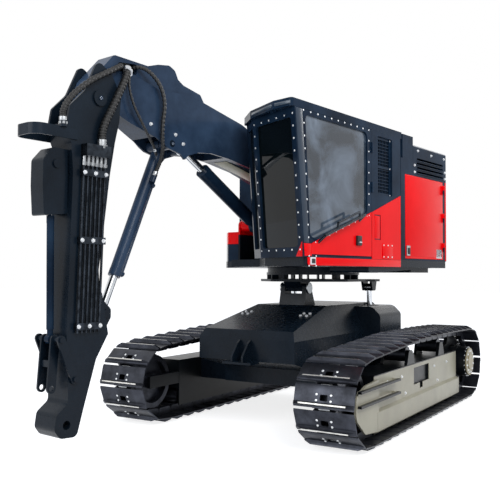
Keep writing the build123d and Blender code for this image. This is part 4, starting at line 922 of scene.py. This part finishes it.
def padded_block(size, at, tilt):
    """Cushion on the upper: a rounded block whose faces swell under pressure."""
    sizes = bpy.context.scene.harvester_seat
    pad = box([edge - 2 * sizes.swell for edge in size], bevel=0.035)
    bpy.context.view_layer.objects.active = pad
    cells = pad.modifiers.new("cells", "REMESH")
    cells.mode = "VOXEL"
    cells.voxel_size = sizes.voxel * 1
    bpy.ops.object.modifier_apply(modifier="cells")
    before = [vertex.co.copy() for vertex in pad.data.vertices]
    cloth = pad.modifiers.new("filling", "CLOTH")
    cloth.settings.use_pressure = True
    cloth.settings.uniform_pressure_force = sizes.pressure
    cloth.settings.effector_weights.gravity = 0
    # long enough for the faces to come to rest
    for step in range(1, 21):
        bpy.context.scene.frame_set(step)
    bpy.ops.object.modifier_apply(modifier="filling")
    bpy.context.scene.frame_set(1)
    for vertex, start in zip(pad.data.vertices, before):
        shift = vertex.co - start
        if shift.length > sizes.swell:
            vertex.co = start + shift.normalized() * sizes.swell
    # sewn channels run across the cushion
    for vertex in pad.data.vertices:
        groove = max(0, 1 - abs(abs(vertex.co.x) - size[0] * 0.22) / 0.012)
        if vertex.co.z > size[2] * 0.2:
            vertex.co.z -= 0.008 * groove
    turned = Matrix.Rotation(SWING, 4, "Z") @ Matrix.Rotation(radians(tilt), 4, "Y")
    return coat(moved(pad, Matrix.Translation(upper(*at)) @ turned), "seat_cloth")


class HARVESTER_OT_seat(bpy.types.Operator):
    """Operator's seat: sprung stand, back shell and two cushions"""
    bl_idname = "harvester.seat"
    bl_label = "Seat"

    def execute(self, context):
        turned = Matrix.Rotation(SWING, 4, "Z")
        base = box((0.34, 0.30, 0.05), bevel=0.01)
        folds = []
        for i in range(6):
            drawn_in = 0.02 * (i % 2)
            size = (0.30 - drawn_in, 0.27 - drawn_in, 0.045)
            folds.append(box(size, (0, 0, 0.045 + 0.04 * i), 0.008))
        pan = box((0.50, 0.48, 0.05), (0.02, 0, 0.30), 0.02)
        stand = coat(joined([base] + folds + [pan]), "console_plastic")
        dress(moved(stand, Matrix.Translation(upper(1085, 830, 2020)) @ turned), "seat_stand", "upper")
        shell = coat(box((0.035, 0.44, 0.70), bevel=0.015), "console_plastic")
        lean = turned @ Matrix.Rotation(radians(-7), 4, "Y")
        dress(moved(shell, Matrix.Translation(upper(765, 830, 2740)) @ lean), "seat_shell", "upper")
        # name, size in metres, middle in millimetres on the upper, tilt in degrees
        cushions = [
            ("seat_cushion", (0.52, 0.50, 0.115), (1115, 830, 2385), 0),
            ("seat_back", (0.68, 0.46, 0.10), (838, 830, 2765), -97),
        ]
        for name, size, at, tilt in cushions:
            cushion = dress(padded_block(size, at, tilt), name, "upper", smooth=180)
            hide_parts("seat")
        return {"FINISHED"}


# Cab fittings


# in millimetres on the upper: the floor, the left wall, the front's lean and the walls' top
FLOOR_Z = 1862
SIDE_Y = 1331
CAB_LEAN = 160
CAB_WALL_TOP_Z = 3450
# right and left corner of the front pane's wall, at floor level
FACET_FRONT, CAB_LEFT = (1865, 602), (2100, 1331)


class CabSizes(bpy.types.PropertyGroup):
    bolt: metres("Bolt", "Radius of a window bolt's head", 0.010)
    spacing: metres("Spacing", "Between window bolts", 0.130)


def skin(name, body, key, rows, y, depth, bevel):
    """Thin plate with an x, z outline in millimetres, on a wall of the upper that faces its left."""
    thin = coat(plate([(-x * MM, z * MM) for x, z in rows], depth, bevel), key)
    place = axes_at(upper(0, y, 0), upper_way(-1, 0, 0), Vector((0, 0, 1)), LEFT)
    return dress(moved(thin, place), name, body)


def rectangle(x0, x1, z0, z1):
    """Corners of an upright plate."""
    return [(x0, z0), (x1, z0), (x1, z1), (x0, z1)]


def leaning_wall(first, second):
    """Function from millimetres across and up a leaning front wall to its place, and the wall's normal."""
    across = Vector((second[0] - first[0], second[1] - first[1], 0)).normalized()
    up = Vector((CAB_LEAN, 0, CAB_WALL_TOP_Z - FLOOR_Z)).normalized()
    normal = across.cross(up).normalized()

    def place(along, height):
        point = Vector((*first, FLOOR_Z)) + across * along + up * height
        return upper(*point)
    return place, upper_way(*normal)


def bolt_row(points, normal, name, body):
    """Button bolts along a line of places round a window."""
    sizes = bpy.context.scene.harvester_cab
    places = [facing(place, normal, (0.3, 0.2, 1)) for place in evenly(points, sizes.spacing)]
    return bolted(button_bolt(sizes.bolt), places, name, body)


class HARVESTER_OT_cab_bolts(bpy.types.Operator):
    """Bolts round the cab's windows"""
    bl_idname = "harvester.cab_bolts"
    bl_label = "Cab bolts"

    def execute(self, context):
        wall, normal = leaning_wall(FACET_FRONT, CAB_LEFT)
        # millimetres up and across the front's wall
        low, high, near, far = 165, 1530, 25, 725
        corners = [(near, low), (far, low), (far, high), (near, high), (near, low)]
        bolt_row([wall(*corner) for corner in corners], normal, "front_glass_bolts", "upper")
        rows = [(855, 2440), (1895, 2105), (2020, 2150), (2110, 3432), (810, 3432), (810, 2450), (855, 2440)]
        bolt_row([upper(x, SIDE_Y, z) for x, z in rows], LEFT, "door_glass_bolts", "cab_door")
        return {"FINISHED"}


class HARVESTER_OT_cab_fittings(bpy.types.Operator):
    """Visor and step lamps, a painted sky reflection on the corner post, door latch, red skins, blank service
    cover and their screws
    """
    bl_idname = "harvester.cab_fittings"
    bl_label = "Cab fittings"

    def execute(self, context):
        lamps = []
        for a, b in (((2065, 602), (2275, 1075)), ((2275, 1075), (2302, 1326))):
            run = Vector((b[0] - a[0], b[1] - a[1], 0))
            normal = upper_way(run.y, -run.x, 0)
            middle = upper((a[0] + b[0]) / 2, (a[1] + b[1]) / 2, 3488)
            lens = box((run.length * 0.86 * MM, 0.034, 0.016), (0, 0, 0), 0.006)
            lamps.append(moved(coat(lens, "lamp_lens"), facing(middle, normal)))
        dress(joined(lamps), "visor_lamps", "upper")

        # thin skin on the corner post that carries its painted sky reflection
        trim = [(2012, 2095), (2100, 2095), (2246, 3440), (2134, 3440)]
        skin("corner_trim", "upper", "corner_enamel", trim, SIDE_Y, 0.004, 0.0015)
        foot = [(1962, 1962), (2086, 1962), (2099, 2089), (1966, 2089)]
        skin("corner_foot", "upper", "red_paint", foot, SIDE_Y, 0.004, 0.0015)

        latch = box((0.095, 0.110, 0.028), (0, 0, 0.014), 0.006)
        bow = rod((-0.03, -0.02, 0.032), (0.03, -0.02, 0.032), 0.007)
        latch = joined([coat(latch, "seal_rubber"), coat(bow, "pin_steel")])
        dress(moved(latch, facing(upper(1060, SIDE_Y + 6, 2152), LEFT)), "door_latch", "cab_door")

        lid = rectangle(556, 679, 2191, 2459)
        skin("recess_lid", "upper", "red_paint", lid, SIDE_Y - 4, 0.006, 0.002)
        skirt = [(48, 1866), (2020, 1866), (2036, 1890), (2036, 1949), (48, 1949)]
        skin("floor_skirt", "upper", "red_paint", skirt, SIDE_Y, 0.006, 0.002)

        wall, normal = leaning_wall(FACET_FRONT, CAB_LEFT)
        length = hypot(CAB_LEFT[0] - FACET_FRONT[0], CAB_LEFT[1] - FACET_FRONT[1])
        gusset = coat(plate([(0, 0), (0.105, 0), (0.119, 0.150)], 0.004, 0.001), "red_paint")
        across = (wall(1, 0) - wall(0, 0)).normalized()
        place = axes_at(wall(length - 118, 95), across, normal.cross(across), normal)
        dress(moved(gusset, place), "front_gusset", "upper")

        cover = rectangle(263, 506, 1962, 2139)
        skin("service_cover", "upper", "red_paint", cover, SIDE_Y + 6, 0.006, 0.002)
        heads = [facing(upper(x, SIDE_Y + 12, z), LEFT) for x in (283, 384, 486) for z in (1982, 2119)]
        bolted(button_bolt(0.009), heads, "service_cover_screws", "upper")
        heads = [facing(upper(x, SIDE_Y - 25, z), LEFT) for x in (265, 585) for z in (2725, 3045, 3385)]
        bolted(button_bolt(0.010), heads, "mesh_screws", "upper")

        lamp = box((0.092, 0.076, 0.012), (0, 0, 0.006), 0.003)
        lens = box((0.058, 0.046, 0.010), (0, 0, 0.015), 0.004)
        corners = [Matrix.Translation((dx, dy, 0)) for dx in (-0.062, 0.062) for dy in (-0.05, 0.05)]
        screws = repeat(button_bolt(0.010), corners)
        lamp = joined([coat(lamp, "plate_white"), coat(lens, "seal_rubber"), coat(screws, "bolt_zinc")])
        dress(moved(lamp, facing(upper(1955, SIDE_Y + 6, 1912), LEFT)), "step_lamp", "upper")
        return {"FINISHED"}


# Engine side


class HARVESTER_OT_engine_side(bpy.types.Operator):
    """Bolts, latch, blank plate, corner strip and door skin of the engine house"""
    bl_idname = "harvester.engine_side"
    bl_label = "Engine side"

    def execute(self, context):
        heads = [
            (-434, 3360), (-822, 3346), (-1210, 3346), (-340, 3166),
            (-340, 3079), (-1240, 3166), (-1240, 3079),
        ]
        places = [facing(upper(x, SIDE_Y, z), LEFT) for x, z in heads]
        bolted(hex_bolt(0.013), places, "engine_house_bolts", "upper")

        latch = box((0.085, 0.125, 0.022), (0, 0, 0.011), 0.006)
        paddle = box((0.055, 0.080, 0.010), (0, -0.006, 0.025), 0.004)
        latch = joined([coat(latch, "pin_steel"), coat(paddle, "seal_rubber")])
        dress(moved(latch, facing(upper(-138, SIDE_Y, 2073), LEFT)), "engine_latch", "engine_door")

        blank = rectangle(-1130, -965, 1990, 2110)
        skin("blank_plate", "engine_door", "plate_white", blank, SIDE_Y, 0.003, 0.001)
        strip = rectangle(-1278, -1238, 1960, 3030)
        skin("rear_corner_strip", "upper", "red_paint", strip, SIDE_Y, 0.003, 0.001)
        sheet = rectangle(-1170, -90, 2004, 3018)
        skin("engine_door_skin", "engine_door", "red_paint", sheet, SIDE_Y - 2, 0.005, 0.002)
        return {"FINISHED"}


# Undercarriage fittings


# x, distance from the middle and height of each guard bolt, in millimetres
GUARD_BOLTS = [
    (639, 1515, 410), (-563, 1515, 410), (639, 1473, 594),
    (-563, 1473, 590), (-1100, 1473, 590), (1087, 1473, 590),
]
# distance inwards from the hub's face, radius and number of bolts, and radius of their heads
HUB_RINGS = [(0, 0.155, 12, 0.012), (0.030, 0.205, 18, 0.007)]
# way that the sloped deck faces, and its fall from 1385 mm at x = 600
DECK_WAY = Vector((0.2337, 0, 0.9723))
DECK_FALL = 250 / 1040


def ring_of_bolts(centre, radius, count, size, side):
    """Bolts on a circle on a face that looks along Y."""
    spots = circle(radius, count, 0.5)
    places = [facing(centre + Vector((x, 0, z)), (0, side, 0)) for x, z in spots]
    return coat(repeat(hex_bolt(size), places), "bolt_zinc")


class HARVESTER_OT_undercarriage(bpy.types.Operator):
    """Bolts of the hubs, guards, deck and bearing, and the tow bracket's tags"""
    bl_idname = "harvester.undercarriage"
    bl_label = "Undercarriage fittings"

    def execute(self, context):
        sizes = context.scene.harvester_tracks
        sprocket_x = sizes.rear_radius - sizes.length / 2
        for name, side in (("left", 1), ("right", -1)):
            middle = lower(sprocket_x / MM, side * (sizes.centre / MM + 292), sizes.rear_radius / MM)
            rings = []
            for inwards, radius, count, head in HUB_RINGS:
                centre = middle - Vector((0, side * inwards, 0))
                rings.append(ring_of_bolts(centre, radius, count, head, side))
            dress(joined(rings), f"hub_bolts_{name}", "undercarriage")
            heads = [facing(lower(x, side * y, z), (0, side, 0)) for x, y, z in GUARD_BOLTS]
            bolted(hex_bolt(0.014), heads, f"guard_bolts_{name}", "undercarriage")
        deck = []
        for y in (-410, 410):
            for x, dy in ((955, -40), (1045, -40), (955, 40), (1045, 40)):
                deck.append(facing(lower(x, y + dy, 1385 - (x - 600) * DECK_FALL), DECK_WAY, (1, 0, 0)))
        bolted(hex_bolt(0.016), deck, "deck_bolts", "undercarriage")
        tags = []
        for y in (-115, 70):
            tag = box((0.05, 0.06, 0.006), (0, 0, 0.003), 0.002)
            tags.append(moved(tag, facing(lower(1652, y, 955), (1, 0, 0))))
        dress(coat(joined(tags), "plate_white"), "tow_tags", "undercarriage")
        ring = [Matrix.Translation(lower(x, y, 1800)) for x, y in circle(575, 36)]
        bolted(hex_bolt(0.012), ring, "bearing_bolts", "tilt_table")
        return {"FINISHED"}


# Arm fittings


def boom_side(x):
    """Half width of the boom at a distance ahead of the slew axis, in millimetres."""
    return 190 - 75 * min(1, max(0, (x - 2950) / 380))


# name, body, x and z on the upper, distance from its middle and radius, in millimetres
KEEPERS = [
    ("boom_foot_keeper", "upper", 350, 2450, 239, 48),
    ("stick_pivot_keeper", "stick", 3740, 3420, 170, 20),
    ("stick_base_keeper", "boom", 2828, 3119, 194, 18),
]
# height of each clamp and its shift from the upright
CLAMPS = [(2700, -54), (2080, -31), (1300, -2)]


def keeper(reach):
    """Dished pin cap with four screws, facing up."""
    disc = fresh("cylinder", vertices=32, radius=reach * MM, depth=0.010, location=(0, 0, 0.005))
    coat(topped(disc, reach * MM * 0.35, -0.004), "arm_enamel")
    places = [Matrix.Translation((a * MM, b * MM, 0.006)) for a, b in circle(0.55 * reach, 4)]
    screws = repeat(button_bolt(reach * MM * 0.16), places)
    return joined([disc, coat(screws, "bolt_zinc")])


class HARVESTER_OT_arm(bpy.types.Operator):
    """Clamp and boom bolts, tube ferrules, pale linings and pin keepers"""
    bl_idname = "harvester.arm"
    bl_label = "Arm fittings"

    def execute(self, context):
        clamps = []
        for z, shift in CLAMPS:
            clamps += [facing(upper(3720 + shift + dx, 196, z), LEFT) for dx in (24, 145, 266)]
        bolted(hex_bolt(0.015), clamps, "clamp_bolts", "stick")

        ends = []
        for i in range(6):
            x = 3745 + i * 48
            top, foot = upper(x - 60, 176, 2850), upper(x - 57, 176, 2765)
            pipe = rod(foot, top, 0.016, 12)
            ends.append(joined([pipe, rod(top.lerp(foot, 0.6), top.lerp(foot, 0.95), 0.020, 6)]))
        dress(coat(joined(ends), "pin_steel"), "tube_ferrules", "stick")

        lining = rectangle(3252, 3486, 3751, 3854)
        skin("pocket_lining", "boom", "cream_enamel", lining, 30, 0.003, 0.001)

        foot, head = Vector((1010, 2864)), Vector((1880, 3061))
        run = (head - foot).normalized()
        across = upper_way(run.x, 0, run.y)
        belly = box(((head - foot).length * MM, 0.19, 0.004), (0, 0, -0.001), 0.001)
        x, z = (foot + head) / 2
        place = axes_at(upper(x, 0, z), across, LEFT, across.cross(LEFT))
        dress(moved(coat(belly, "cream_enamel"), place), "boom_belly", "boom")

        heads = [(3099, 3281), (2782, 3217), (2669, 3136)]
        bolts = [facing(upper(x, boom_side(x) - 1, z), LEFT) for x, z in heads]
        bolted(hex_bolt(0.015), bolts, "boom_bolts", "boom")

        for name, body, x, z, y, reach in KEEPERS:
            caps = []
            for side in (-1, 1):
                caps.append(moved(keeper(reach), facing(upper(x, side * y, z), upper_way(0, side, 0))))
            dress(joined(caps), name, body)
        return {"FINISHED"}


OPERATORS = (
    HARVESTER_OT_stage, HARVESTER_OT_finishes, HARVESTER_OT_tracks, HARVESTER_OT_hoses, HARVESTER_OT_seat,
    HARVESTER_OT_cab_bolts, HARVESTER_OT_cab_fittings, HARVESTER_OT_engine_side, HARVESTER_OT_undercarriage,
    HARVESTER_OT_arm,
)


class HARVESTER_PT_panel(bpy.types.Panel):
    """Lists the harvester's pieces and their settings in the sidebar"""
    bl_label = "Harvester"
    bl_space_type = "VIEW_3D"
    bl_region_type = "UI"
    bl_category = "Harvester"

    def draw(self, context):
        for operator in OPERATORS:
            self.layout.operator(operator.bl_idname)
        for key, group in GROUPS.items():
            column = self.layout.column()
            for setting in group.__annotations__:
                column.prop(getattr(context.scene, key), setting)


GROUPS = {
    "harvester_paint": PaintColours, "harvester_stage": HarvesterStage,
    "harvester_tracks": TrackSizes, "harvester_hoses": HoseSizes,
    "harvester_seat": SeatSizes, "harvester_cab": CabSizes,
}


def register():
    """Adds the classes and hangs each group of settings on the scene."""
    for group in GROUPS.values():
        bpy.utils.register_class(group)
    for key, group in GROUPS.items():
        setattr(bpy.types.Scene, key, bpy.props.PointerProperty(type=group))
    for operator in OPERATORS:
        bpy.utils.register_class(operator)
    bpy.utils.register_class(HARVESTER_PT_panel)


def unregister():
    """Takes away what register added."""
    bpy.utils.unregister_class(HARVESTER_PT_panel)
    for operator in reversed(OPERATORS):
        bpy.utils.unregister_class(operator)
    for key in GROUPS:
        delattr(bpy.types.Scene, key)
    for group in reversed(GROUPS.values()):
        bpy.utils.unregister_class(group)


def main():
    """Runs every operator."""
    register()
    for operator in OPERATORS:
        group, name = operator.bl_idname.split(".")
        getattr(getattr(bpy.ops, group), name)()


if __name__ == "__main__":
    main()
